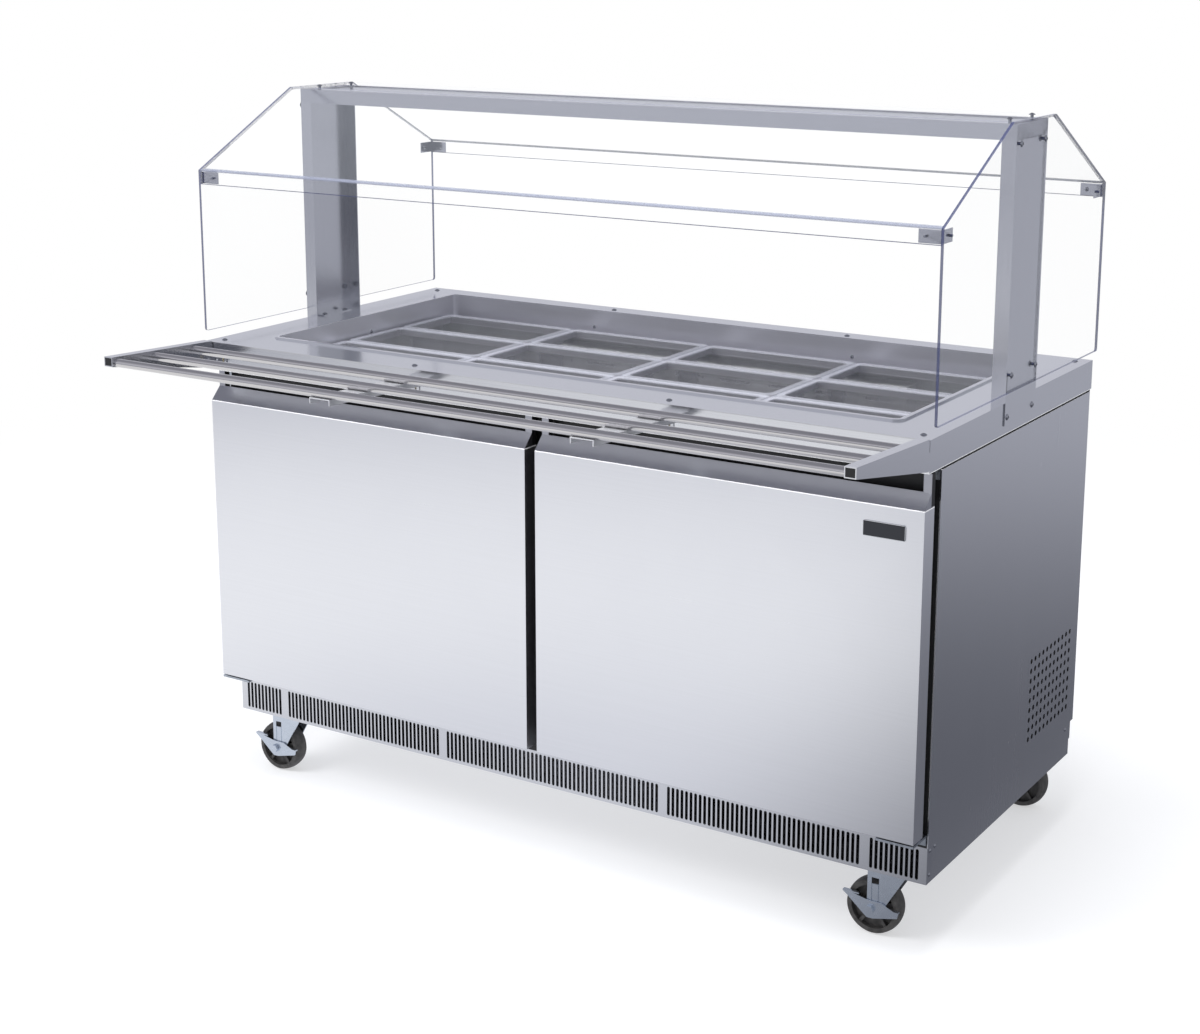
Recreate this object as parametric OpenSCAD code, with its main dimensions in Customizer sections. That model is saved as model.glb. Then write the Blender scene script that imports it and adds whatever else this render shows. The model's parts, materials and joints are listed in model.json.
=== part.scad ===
// Refrigerated salad bar: two-door cabinet on castors, worktop with a cold well for twelve food pans,
// clear sneeze guard on two posts, and a tube tray slide along the front.
// Millimetres. X runs left to right, Y from the customer's side to the back, Z up from the floor.

/* [Worktop] */
// Height of the worktop's upper face above the floor
counter_z = 920; // [890:5:960]
// Height of the folded skirt
skirt_h = 55; // [45:1:60]
// Thickness of the stainless sheet
sheet_t = 2; // [1.5:0.5:2.5]
// Distance from the worktop's front edge to the well
well_front_in = 97; // [85:1:110]
// Distance from the worktop's side edges to the well
well_side_in = 97; // [80:1:120]
// Distance from the worktop's back edge to the well
well_back_in = 60; // [50:1:80]
// Height of the bead round the well
bead_h = 3; // [1:0.5:5]
// Width of the bead round the well
bead_w = 6; // [3:0.5:10]
// Distance from the well's front wall to the first row of pans
pan_front_in = 26; // [24:1:32]
// Distance from the last row of pans to the well's back wall
pan_back_in = 35; // [30:1:40]
// Distance from the well's side walls to the pans
pan_side_in = 12; // [9:1:16]
// Depth of the well's side wall below the worktop
well_wall_h = 52; // [48:1:60]

/* [Cabinet] */
// Distance from the worktop's side edges to the cabinet's sides
cabinet_side_in = 4; // [3:1:15]
// How far the cabinet's back stands behind the worktop
cabinet_back_out = 5; // [0:1:10]
// Distance from the worktop's front edge to the cabinet's front face
cabinet_front_in = 61; // [59:1:70]
// Thickness of the foam walls
foam_t = 38; // [30:1:42]
// Thickness of the foam floor
foam_floor_t = 42; // [35:1:50]
// Depth of the machine compartment at the back
machine_d = 275; // [260:5:300]
// Height of the machine compartment
machine_h = 224; // [220:1:240]
// Diameter of a vent hole in the side panel
vent_d = 10; // [6:0.5:12]
// Spacing of the vent holes from front to back
vent_pitch_y = 20; // [16:0.5:20]
// Spacing of the vent holes in height
vent_pitch_z = 19; // [14:0.5:20]
// Vent holes in a row
vent_cols = 11; // [5:1:11]
// Rows of vent holes
vent_rows = 9; // [4:1:9]

/* [Base and grille] */
// Distance from the cabinet's sides to the base's sides
base_side_in = 1; // [0:1:10]
// Distance from the cabinet's back to the back of the base
base_back_in = 16; // [5:1:30]
// Height of the base
base_h = 66; // [60:1:80]
// Reach of the base's rear beam, which carries the rear castors and stops the cabinet short of the wall
rear_beam_d = 79; // [76:1:100]
// Distance from the base's sides to the ends of the rear beam
rear_beam_in = 25; // [10:1:27]
// Width of a grille slot
slot_w = 5.8; // [4:0.1:7]
// Height of a grille slot
slot_h = 55; // [40:1:56]
// Distance from the base's sides to the first grille slots
slot_side_in = 15; // [12:1:25]
// Gap between the groups of slots
slot_group_gap = 19; // [10:1:20]

/* [Doors] */
// Distance from the worktop's front edge to the face of the doors
door_face_in = 5; // [3:1:10]
// Depth of the door's folded skin
door_skin_d = 38; // [36:1:40]
// Distance from the door's face to the back of its inner panel
door_d = 48; // [47:1:49]
// Gap between the two doors
door_gap = 22; // [10:1:30]
// Gap between the base and the doors
door_low_gap = 26; // [22:1:30]
// Distance from the skirt down to the door's lip
door_lip_in = 38; // [30:1:50]
// Rise of the slanted grip
grip_rise = 26; // [20:1:30]
// Run of the slanted grip
grip_run = 25; // [20:1:27]
// Depth of the finger pocket below the lip
pocket_h = 26; // [15:1:40]
// Gap between the door's top and the skirt
door_top_gap = 7; // [5:1:10]
// Width of the magnetic gasket
gasket_w = 16; // [12:1:20]

/* [Food pans] */
// Length of a pan across the bar
pan_w = 325; // [318:1:326]
// Width of a pan from front to back
pan_d = 176; // [170:1:177]
// Depth of a pan
pan_h = 150; // [65:5:150]
// Pans side by side
pan_cols = 4; // [4:1:4]
// Rows of pans
pan_rows = 3; // [3:1:3]
// Gap between two pans across the bar
pan_gap_x = 4; // [3:0.5:6]
// Gap between two rows of pans
pan_gap_y = 2; // [1.5:0.5:4]
// Distance from the worktop down to the pans' rims
pan_drop = 36; // [34:1:38]

/* [Sneeze guard] */
// Thickness of the clear sheets
acrylic_t = 5; // [4:0.5:6]
// Distance from the worktop's front edge to the guard
guard_front_in = 9; // [5:1:15]
// Distance from the worktop's back edge to the guard
guard_back_in = 0; // [0:1:15]
// Height of the end panel's lower edge above the worktop
guard_low = 18.5; // [10:0.5:40]
// Height of the guard's shoulder above the worktop
guard_shoulder = 333; // [300:1:360]
// Height of the guard's flat top above the worktop
guard_top = 476; // [440:1:520]
// Depth of the guard's flat top
guard_flat_d = 194; // [180:1:260]
// Height of the canopy's upright front and back edges
guard_lip_h = 27; // [15:1:40]
// Depth of a post from front to back
post_d = 141; // [120:1:170]
// Width of a post's flanges
post_flange = 26; // [18:1:40]
// Length of a post's tail down over the skirt
post_tail = 39; // [30:1:42]
// Height of the cross beam
beam_h = 28; // [20:1:45]

/* [Tray slide] */
// Reach of the tray slide in front of the worktop
slide_reach = 267; // [240:1:300]
// Width of an end arm
arm_w = 20; // [16:1:30]
// Diameter of a tray tube
tube_d = 16; // [14:0.5:20]
// Wall of a tray tube
tube_t = 1.5; // [1:0.5:2]
// Width of a middle support
support_w = 45; // [40:1:60]

/* [Castors] */
// Overall height of a castor
castor_h = 140; // [135:1:150]
// Radius of a castor wheel
wheel_r = 51; // [45:1:54]
// Width of a castor wheel
wheel_w = 32; // [24:1:34]
// Distance from the kingpin to the axle
castor_trail = 32; // [25:1:36]
// Distance from the base's sides to the kingpins of the front castors
front_kingpin_in = 85; // [70:1:100]
// Distance from the base's sides to the kingpins of the rear castors
rear_kingpin_in = 68; // [66:1:80]

/* [Hidden] */
$fn = 48;
overrun = 1;            // how far a cut runs past the face that it opens
run_gap = 0.1;          // radial clearance of a turning pin
seat_gap = 0.3;         // rest clearance between pieces that lift off or swing clear
fixed_gap = 0.2;        // clearance of a fixed screw or tube in its hole

// Heights
base_z = castor_h;
cabinet_z = base_z + base_h;
skirt_z = counter_z - skirt_h;
board_z = counter_z - sheet_t;

// Outer sizes, from the block of pans outwards
pan_pitch_x = pan_w + pan_gap_x;
pan_pitch_y = pan_d + pan_gap_y;
pan_block_w = (pan_cols - 1)*pan_pitch_x + pan_w;
pan_block_d = (pan_rows - 1)*pan_pitch_y + pan_d;
well_w = pan_block_w + 2*pan_side_in;
well_d = pan_front_in + pan_block_d + pan_back_in;
counter_w = well_w + 2*well_side_in;
counter_d = well_front_in + well_d + well_back_in;
cabinet_w = counter_w - 2*cabinet_side_in;
cabinet_d = counter_d - cabinet_front_in + cabinet_back_out;
base_w = cabinet_w - 2*base_side_in;
base_d = cabinet_d - base_back_in;
rear_beam_w = base_w - 2*rear_beam_in;
guard_d = counter_d - guard_front_in - guard_back_in;
front_castor_x = base_w/2 - front_kingpin_in;
rear_castor_x = base_w/2 - rear_kingpin_in;

// Depths: the whole object is centred front to back on the origin
overall_d = slide_reach + cabinet_front_in + base_d + rear_beam_d;
front_y = slide_reach - overall_d/2;
counter_back_y = front_y + counter_d;
cabinet_y = front_y + cabinet_front_in;
cabinet_back_y = cabinet_y + cabinet_d;
base_back_y = cabinet_y + base_d;
beam_back_y = base_back_y + rear_beam_d;
door_y = front_y + door_face_in;
well_y = front_y + well_front_in;
well_back_y = well_y + well_d;
well_r = 12;            // corner radius of the well

// Widths
side_x = cabinet_w/2;
skirt_x = counter_w/2;
liner_x = side_x - sheet_t - foam_t;
liner_floor_z = cabinet_z + foam_floor_t + sheet_t;
step_y = cabinet_back_y - machine_d - foam_t;
step_z = cabinet_z + machine_h + foam_t + sheet_t;
liner_back_y = cabinet_back_y - sheet_t - foam_t - sheet_t;
return_w = 20;          // folded returns of the panels
ledge_z = counter_z - well_wall_h;

// Pans
pan_rim_t = 3;          // thickness of a pan's rim
pan_rim_w = 9;          // width of a pan's rim
pan_r = 14;             // corner radius of a pan's rim
pan_wall = 2.5;         // wall of a pan
pan_step = 3;           // stacking shoulder of a pan
pan_shoulder_h = 26;    // height of the wider upper part of a pan
pan_rim_z = counter_z - pan_drop;
pan_y = well_y + pan_front_in;
pan_back_y = pan_y + pan_block_d;
bar_w = 12;             // width of the bars between the pans
bar_edge_w = 5;         // width of the bars under the outer rims
bar_top_z = pan_rim_z - pan_rim_t - seat_gap;
ledge_lap = 3;          // how far the well's ledge stays clear of the pans

// Doors
door_z = cabinet_z + door_low_gap;
door_lip_z = skirt_z - door_lip_in;
door_face_z = door_lip_z - grip_rise;
door_top_z = skirt_z - door_top_gap;
door_side_in = 3;       // the door's outer edge stays this far inside the cabinet's side
door_out_x = side_x - door_side_in;
door_in_x = door_gap/2;
door_inset = 12;        // the inner panel stays this far inside the skin's edge
pocket_floor_z = door_lip_z - pocket_h;
cap_w = 14;             // width of the pocket's closed ends
pin_d = 6;              // hinge pin
pin_in = 7;             // from the door's outer edge to the hinge pin
pin_x = door_out_x - pin_in;
pin_y = door_y + door_skin_d - pin_in;
pin_len = 12;
bush_h = 16;            // height of the block that holds the lower pin
gasket_y = door_y + door_d;
gasket_t = cabinet_y - gasket_y - seat_gap;
dish_d = 3;             // dish pressed in the door's inner panel
dish_in = 36;           // from the inner panel's edge to the dish
mullion_w = 82;
mullion_d = 40;
gasket_edge = 6;        // the gasket stays this far inside the door's lower and upper edges
frame_lap = 2;          // the door frame reaches this far past the gasket's inner edge
opening_x = liner_x;
opening_z0 = door_z + gasket_edge + gasket_w + frame_lap;
opening_z1 = door_top_z - frame_lap - gasket_w - frame_lap;

// Guard
acrylic_in_x = skirt_x + sheet_t;
acrylic_out_x = acrylic_in_x + acrylic_t;
guard_y = front_y + guard_front_in;
guard_back_y = guard_y + guard_d;
guard_mid_y = guard_y + guard_d/2;
flat_y = guard_mid_y - guard_flat_d/2;
flat_back_y = guard_mid_y + guard_flat_d/2;
guard_low_z = counter_z + guard_low;
guard_shoulder_z = counter_z + guard_shoulder;
guard_top_z = counter_z + guard_top;
guard_r = 5;            // corner radius of the end panels
post_y = guard_mid_y - post_d/2;
beam_top_z = guard_top_z - acrylic_t;
post_top_z = beam_top_z - beam_h;
foot_w = 22;            // foot tab of a post on the worktop
foot_d = 90;
angle_w = 40;           // leg of an angle bracket
angle_h = 22;
angle_low = 1.5;        // the brackets sit this far above the canopy's lower edge

// Tray slide
arm_back_h = 53;        // height of an end arm at the skirt
arm_tip_h = 18;         // height of an end arm at its tip
arm_rise = 12;          // how far the arms rise towards the customer
arm_back_z = counter_z + sheet_t;
arm_seam = 2;           // dark seam between arm and skirt
tube_drop = 3;          // how far the tubes lie below the arms' upper edges
tube_in_share = [0.2, 0.59, 0.955];  // tube centres as shares of the reach
bracket_w = 56;         // plate that screws to the skirt
bracket_h = 26;
bracket_low = 10;
bracket_z = skirt_z + bracket_low;
bracket_hole_share = [0.15, 0.55];
bracket_slot_share = 0.86;
bracket_slot_w = 4;
bracket_slot_h = 10;
support_lip = 11;       // turned-down edges of a middle support
support_shares = [-0.166, 0.186];    // of the worktop's width
support_xs = [for (s = support_shares) s*counter_w];

// Screws
dome_d = 12;
dome_h = 3;
shaft_d = 5;
nut_d = 10;
nut_h = 4;
small_d = 8;
small_h = 2;
hole_d = shaft_d + 2*fixed_gap;

small_shaft_d = 4;       // shaft of a small screw
hex_sides = 6;
small_hole_d = small_shaft_d + 2*fixed_gap;

// Names of all nodes
PAN_NAMES = ["front", "middle", "rear"];
CASTOR_NAMES = ["front_left", "front_right", "rear_left", "rear_right"];

// Shared helpers

// A box between two opposite corners
module block(lo, hi) translate(lo) cube(hi - lo);

// The children and their mirror image across the middle plane
module mirrored() {
    children();
    mirror([1, 0, 0]) children();
}

// An outline drawn in Y and Z, drawn out along X
module along_x(x0, x1) translate([x0, 0, 0]) rotate([90, 0, 90]) linear_extrude(x1 - x0) children();

// An outline drawn in X and Z, drawn out along Y
module along_y(y0, y1) translate([0, y1, 0]) rotate([90, 0, 0]) linear_extrude(y1 - y0) children();

// A rectangle with round corners about its centre
module round_rect(w, d, r) {
    square([w - 2*r, d], center = true);
    square([w, d - 2*r], center = true);
    for (x = [-1, 1], y = [-1, 1])
        translate([x*(w/2 - r), y*(d/2 - r)]) circle(r = r);
}

// A round-ended slot about its centre, upright
module slot(w, h) {
    square([w, h - w], center = true);
    for (s = [-1, 1]) translate([0, s*(h - w)/2]) circle(d = w);
}

// A sheet of one thickness folded along the given points
module folded(points, t) {
    for (i = [0:len(points) - 2]) {
        run = points[i + 1] - points[i];
        translate(points[i]) rotate(atan2(run.y, run.x)) translate([0, -t/2]) square([norm(run), t]);
    }
    for (i = [1:len(points) - 2]) translate(points[i]) circle(d = t);
}

// A rod between two points on one axis line
module rod(a, b, d) {
    run = b - a;
    turn = run.x != 0 ? [0, 90, 0] : run.y != 0 ? [-90, 0, 0] : [0, 0, 0];
    translate(a) rotate(turn) cylinder(d = d, h = norm(run));
}

// Domed screw head with its shaft, head towards +Z
module dome_screw(d, h, shaft_d, shaft_l) {
    ball_r = (d*d/4 + h*h)/(2*h);
    rotate_extrude() intersection() {
        translate([0, h - ball_r]) circle(r = ball_r);
        square([d/2, h]);
    }
    translate([0, 0, -shaft_l]) cylinder(d = shaft_d, h = shaft_l + h/2);
}

// Base and grille

grille_return = 22;
slot_counts = [10, 41, 51, 41, 10];
slot_low = 6;
slot_groups = len(slot_counts);
slot_steps = [for (n = slot_counts) n - 1]*[for (n = slot_counts) 1];    // spacings in all the groups
slot_pitch = (base_w - 2*slot_side_in - (slot_groups - 1)*slot_group_gap - slot_groups*slot_w)/slot_steps;
function run_w(n) = (n - 1)*slot_pitch + slot_w;
function slot_start(k) = k == 0 ? 0 : slot_start(k - 1) + run_w(slot_counts[k - 1]) + slot_group_gap;
slot_row_w = slot_start(slot_groups) - slot_group_gap;
deck_hole_share = [-0.9, -0.1];
deck_hole_in = 30;

module base_frame() color("slategray") difference() {
    union() {
        block([-base_w/2, cabinet_y + sheet_t, base_z], [base_w/2, base_back_y, cabinet_z]);
        block([-rear_beam_w/2, base_back_y - sheet_t, base_z], [rear_beam_w/2, beam_back_y, cabinet_z]);
    }
    block([-base_w/2 + sheet_t, cabinet_y, base_z + sheet_t],
          [base_w/2 - sheet_t, base_back_y - sheet_t, cabinet_z - sheet_t]);
    block([-rear_beam_w/2 + sheet_t, base_back_y, base_z + sheet_t],
          [rear_beam_w/2 - sheet_t, beam_back_y - sheet_t, cabinet_z - sheet_t]);
    mirrored() block([base_w/2 - sheet_t, cabinet_y, base_z - overrun],
                     [base_w/2 + overrun, cabinet_y + grille_return, cabinet_z + overrun]);
    block([deck_hole_share[0]*base_w/2, machine_y + deck_hole_in, cabinet_z - sheet_t - overrun],
          [deck_hole_share[1]*base_w/2, base_back_y - deck_hole_in, cabinet_z + overrun]);
    base_screw_holes();
}

module base_screw_holes() for (p = base_screw_spots) mirrored()
    rod([base_w/2 - sheet_t - overrun, p.x, p.y], [base_w/2 + overrun, p.x, p.y], small_hole_d);

module front_grille() color("lightsteelblue") {
    along_y(cabinet_y, cabinet_y + sheet_t) difference() {
        translate([-base_w/2, base_z]) square([base_w, base_h]);
        for (k = [0:slot_groups - 1]) for (i = [0:slot_counts[k] - 1])
            translate([slot_start(k) - slot_row_w/2 + slot_w/2 + i*slot_pitch, base_z + slot_low + slot_h/2])
                slot(slot_w, slot_h);
    }
    difference() {
        mirrored() block([base_w/2 - sheet_t, cabinet_y + sheet_t, base_z],
                         [base_w/2, cabinet_y + grille_return, cabinet_z]);
        base_screw_holes();
    }
}

// Cabinet shell

machine_y = cabinet_back_y - machine_d;
vent_back_in = 43;      // last column of vents from the cabinet's back
vent_low = 40;          // lowest row of vents above the base

module right_panel() {
    along_x(side_x - sheet_t, side_x) difference() {
        union() {
            translate([cabinet_y, cabinet_z]) square([cabinet_d, skirt_z - sheet_t - cabinet_z]);
            translate([cabinet_y, cabinet_z])
                square([counter_back_y - 2*sheet_t - cabinet_y, board_z - cabinet_z]);
        }
        for (i = [0:vent_cols - 1]) for (k = [0:vent_rows - 1])
            translate([cabinet_back_y - vent_back_in - i*vent_pitch_y, cabinet_z + vent_low + k*vent_pitch_z])
                circle(d = vent_d);
    }
    block([side_x - sheet_t - return_w, cabinet_back_y - sheet_t, cabinet_z],
          [side_x - sheet_t, cabinet_back_y, skirt_z - sheet_t]);
}

module right_side_panel() color("dimgray") right_panel();
module left_side_panel() color("dimgray") mirror([1, 0, 0]) right_panel();

louvre_w = 130;
louvre_h = 8;
louvre_pitch_x = 170;
louvre_pitch_z = 22;
louvre_cols = 7;
louvre_rows = 7;
louvre_low = 50;
gland_x_share = 0.42;
gland_x = gland_x_share*cabinet_w;
gland_z_share = 0.86;
gland_z = cabinet_z + gland_z_share*machine_h;
gland_d = 20;

module back_panel() color("silver") along_y(cabinet_back_y - sheet_t, cabinet_back_y) difference() {
    panel_w = cabinet_w - 2*(sheet_t + return_w);
    translate([-panel_w/2, cabinet_z]) square([panel_w, skirt_z - sheet_t - cabinet_z]);
    for (i = [0:louvre_cols - 1]) for (k = [0:louvre_rows - 1])
        translate([(i - (louvre_cols - 1)/2)*louvre_pitch_x, cabinet_z + louvre_low + k*louvre_pitch_z])
            rotate(90) slot(louvre_h, louvre_w);
    translate([gland_x, gland_z]) circle(d = gland_d);
}

module door_frame() color("silver") {
    along_y(cabinet_y, cabinet_y + sheet_t) difference() {
        translate([-side_x + sheet_t, cabinet_z]) square([cabinet_w - 2*sheet_t, skirt_z - cabinet_z]);
        for (s = [0, 1]) mirror([s, 0])
            translate([mullion_w/2, opening_z0]) square([opening_x - mullion_w/2, opening_z1 - opening_z0]);
    }
    // hollow mullion between the two openings
    difference() {
        block([-mullion_w/2, cabinet_y + sheet_t, liner_floor_z],
              [mullion_w/2, cabinet_y + mullion_d, opening_z1]);
        block([-mullion_w/2 + sheet_t, cabinet_y, liner_floor_z - overrun],
              [mullion_w/2 - sheet_t, cabinet_y + mullion_d - sheet_t, opening_z1 + overrun]);
    }
}

liner_y = cabinet_y + sheet_t;
ceiling_z = skirt_z - sheet_t;

// Outline in Y and Z of the storage space, grown by a margin
module liner_outline(grow) polygon([
    [liner_y - grow, liner_floor_z - grow], [step_y + grow, liner_floor_z - grow],
    [step_y + grow, step_z - grow], [liner_back_y + grow, step_z - grow],
    [liner_back_y + grow, ceiling_z + grow], [liner_y - grow, ceiling_z + grow]]);

module liner_body(grow) along_x(-liner_x - grow, liner_x + grow) liner_outline(grow);

module insulation() color("khaki") {
    difference() {
        block([-side_x + sheet_t, liner_y, cabinet_z],
              [side_x - sheet_t, cabinet_back_y - sheet_t, ceiling_z]);
        liner_body(sheet_t);
        block([-side_x, machine_y, cabinet_z - overrun], [side_x, cabinet_back_y, cabinet_z + machine_h]);
    }
    // board under the worktop, round the well
    difference() {
        block([-side_x + sheet_t, front_y + sheet_t, skirt_z + sheet_t],
              [side_x - sheet_t, counter_back_y - sheet_t, board_z]);
        block([-well_w/2 - overrun, well_y - overrun, skirt_z],
              [well_w/2 + overrun, well_back_y + overrun, counter_z]);
    }
}

runner_w = 12;
runner_h = 8;
shelf_rod_d = 6;
shelf_wire_d = 4;
shelf_pitch = 25;
shelf_front_in = 45;
shelf_gap = 3;

module inner_liner() color("gainsboro") {
    difference() {
        intersection() {
            liner_body(sheet_t);
            block([-side_x, liner_y, cabinet_z], [side_x, cabinet_back_y, skirt_z]);
        }
        liner_body(0);
        block([-liner_x, liner_y - overrun, liner_floor_z], [liner_x, liner_y + sheet_t, ceiling_z]);
        block([-well_w/2, well_y, ceiling_z - overrun], [well_w/2, well_back_y, skirt_z + overrun]);
    }
    // runners that carry the wire shelves in front of the step
    mirrored() block([liner_x - runner_w, liner_y + mullion_d, step_z - runner_h],
                     [liner_x + sheet_t, step_y + sheet_t, step_z]);
    block([-runner_w, cabinet_y + mullion_d, step_z - runner_h], [runner_w, step_y + sheet_t, step_z]);
}

module wire_shelf() {
    x0 = shelf_gap + shelf_rod_d/2;
    x1 = liner_x - shelf_gap - shelf_rod_d/2;
    y0 = liner_y + shelf_front_in;
    y1 = cover_y - shelf_gap - shelf_rod_d/2;
    z = step_z + shelf_rod_d/2;
    wires = floor((x1 - x0)/shelf_pitch);
    for (x = [x0, x1]) rod([x, y0, z], [x, y1, z], shelf_rod_d);
    for (y = [y0, (y0 + y1)/2, y1]) rod([x0, y, z], [x1, y, z], shelf_rod_d);
    for (x = [x0, x1], y = [y0, y1]) translate([x, y, z]) sphere(d = shelf_rod_d);
    for (i = [1:wires]) rod([x0 + i*(x1 - x0)/(wires + 1), y0, z + shelf_wire_d/2],
                            [x0 + i*(x1 - x0)/(wires + 1), y1, z + shelf_wire_d/2], shelf_wire_d);
}

module wire_shelves() color("white") mirrored() wire_shelf();

// Cooling

fin_t = 1;
pipe_d = 9.5;
condenser_d = 230;
condenser_t = 50;
condenser_h = 200;
condenser_in = 10;      // from the side panel to the coil
condenser_fins = 20;
condenser_rows = 6;
condenser_y = machine_y + (machine_d - sheet_t - condenser_d)/2;
condenser_x = side_x - sheet_t - condenser_in - condenser_t;
coil_foot = 9;          // the coil's end plates stand this far below its fins
shroud_t = 40;
fan_r = 82;
fan_gap = 5;
fan_hub_r = 24;
fan_hub_w = 18;
blade_t = 2;
blade_count = 5;
motor_r = 30;
motor_l = 45;
shaft_r = 4;
strut_w = 12;
fan_y = condenser_y + condenser_d/2;
fan_z = cabinet_z + coil_foot + condenser_h/2;
pot_r = 80;
pot_wall_h = 85;
relay_size = 44;
relay_z = 56;
pot_foot_h = 14;
pot_foot_w = 200;
pot_foot_d = 14;
pot_foot_in = 22;
pot_x_share = 0.56;
pot_x = pot_x_share*side_x;

module compressor() color("black") translate([pot_x, fan_y, cabinet_z]) {
    foot_at = pot_foot_w/2 - pot_foot_in;
    for (x = [-1, 1], y = [-1, 1]) translate([x*foot_at, y*foot_at, 0])
        cylinder(d = pot_foot_d, h = pot_foot_h);
    translate([0, 0, pot_foot_h]) linear_extrude(sheet_t) round_rect(pot_foot_w, pot_foot_w, pan_r);
    rotate_extrude() {
        translate([0, pot_foot_h + sheet_t]) square([pot_r, pot_wall_h - sheet_t]);
        intersection() {
            translate([0, pot_foot_h + pot_wall_h]) circle(r = pot_r);
            translate([0, pot_foot_h + pot_wall_h]) square(pot_r);
        }
    }
    translate([-pot_r - relay_size/2, -relay_size/2, relay_z]) cube(relay_size);
}

module condenser_coil() color("darkgray") {
    z0 = cabinet_z + coil_foot;
    for (i = [0:condenser_fins - 1])
        translate([condenser_x, condenser_y + (i + 0.5)*condenser_d/condenser_fins, z0])
            cube([condenser_t, fin_t, condenser_h]);
    for (y = [condenser_y, condenser_y + condenser_d - sheet_t])
        translate([condenser_x, y, cabinet_z]) cube([condenser_t, sheet_t, condenser_h + coil_foot]);
    for (i = [0, 1]) for (k = [0:condenser_rows - 1]) {
        x = condenser_x + (i + 0.5)*condenser_t/2;
        z = z0 + (k + 0.5)*condenser_h/condenser_rows;
        rod([x, condenser_y, z], [x, condenser_y + condenser_d, z], pipe_d);
    }
}

module fan_shroud() color("dimgray") {
    x0 = condenser_x - shroud_t;
    z0 = cabinet_z + coil_foot;
    difference() {
        block([x0, condenser_y, z0], [condenser_x, condenser_y + condenser_d, z0 + condenser_h]);
        block([x0 + sheet_t, condenser_y + sheet_t, z0 + sheet_t],
              [condenser_x + overrun, condenser_y + condenser_d - sheet_t, z0 + condenser_h - sheet_t]);
        translate([x0 - overrun, fan_y, fan_z]) rotate([0, 90, 0])
            cylinder(r = fan_r + fan_gap, h = sheet_t + 2*overrun);
    }
    // motor with its shaft, held by a strut across the opening
    translate([x0 - sheet_t - motor_l, fan_y, fan_z]) rotate([0, 90, 0]) cylinder(r = motor_r, h = motor_l);
    rod([x0 - sheet_t, fan_y, fan_z], [condenser_x - fan_gap, fan_y, fan_z], 2*shaft_r);
    block([x0 - sheet_t, condenser_y, fan_z - strut_w/2],
          [x0, condenser_y + condenser_d, fan_z + strut_w/2]);
}

// A fan about the Z axis: a bored hub with pitched blades
module fan_wheel(r, hub_r, w, bore_r, pitch) difference() {
    union() {
        cylinder(r = hub_r, h = w);
        for (i = [0:blade_count - 1]) rotate(i*360/blade_count)
            translate([hub_r - blade_t, 0, w/2]) rotate([pitch, 0, 0])
                translate([0, -w/2, -blade_t/2]) cube([r - hub_r, w, blade_t]);
    }
    translate([0, 0, -overrun]) cylinder(r = bore_r, h = w + 2*overrun);
}

module condenser_fan() color("black")
    translate([condenser_x - shroud_t + sheet_t + fan_gap, fan_y, fan_z]) rotate([0, 90, 0])
        fan_wheel(fan_r, fan_hub_r, fan_hub_w, shaft_r + run_gap, blade_pitch);

cover_w = 860;
cover_low = 30;
cover_z = step_z + cover_low;
cover_high_in = 18;
cover_h = ceiling_z - cover_high_in - cover_z;
cover_d = 50;
cover_y = liner_back_y - cover_d;
cover_slot_w = 70;
cover_slot_h = 7;
cover_slots = 8;
cover_slot_pitch_z = 16;
evap_w = 700;
evap_d = 34;
evap_h = 150;
evap_fins = 36;
evap_rows = 5;
evap_fan_r = 58;
evap_fan_hub_r = 18;
evap_fan_w = 14;
evap_fan_low = 90;
evap_fan_z = cover_z + evap_fan_low;
evap_motor_r = 22;
evap_motor_l = 16;
ring_w = 3;
dial_x_share = 0.38;
dial_x = dial_x_share*cover_w;
dial_r = 18;
dial_h = 14;
dial_low = 60;
dial_z = cover_z + dial_low;
grip_share = 0.8;       // the dial's grip as a share of its flange
ring_shares = [0.33, 0.66];
blade_pitch = 35;

module evaporator_coil() color("silver") {
    z0 = evap_fan_z + evap_fan_r + return_w;
    y0 = liner_back_y - fan_gap - evap_d;
    for (i = [0:evap_fins - 1]) translate([-evap_w/2 + (i + 0.5)*evap_w/evap_fins, y0, z0])
        cube([fin_t, evap_d, evap_h]);
    for (i = [0, 1]) for (k = [0:evap_rows - 1]) {
        y = y0 + (i + 0.5)*evap_d/2;
        z = z0 + (k + 0.5)*evap_h/evap_rows;
        rod([-evap_w/2, y, z], [evap_w/2, y, z], pipe_d);
    }
    for (s = [-1, 1]) translate([s*evap_w/2 - sheet_t/2, y0, z0]) cube([sheet_t, evap_d + fan_gap, evap_h]);
}

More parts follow.
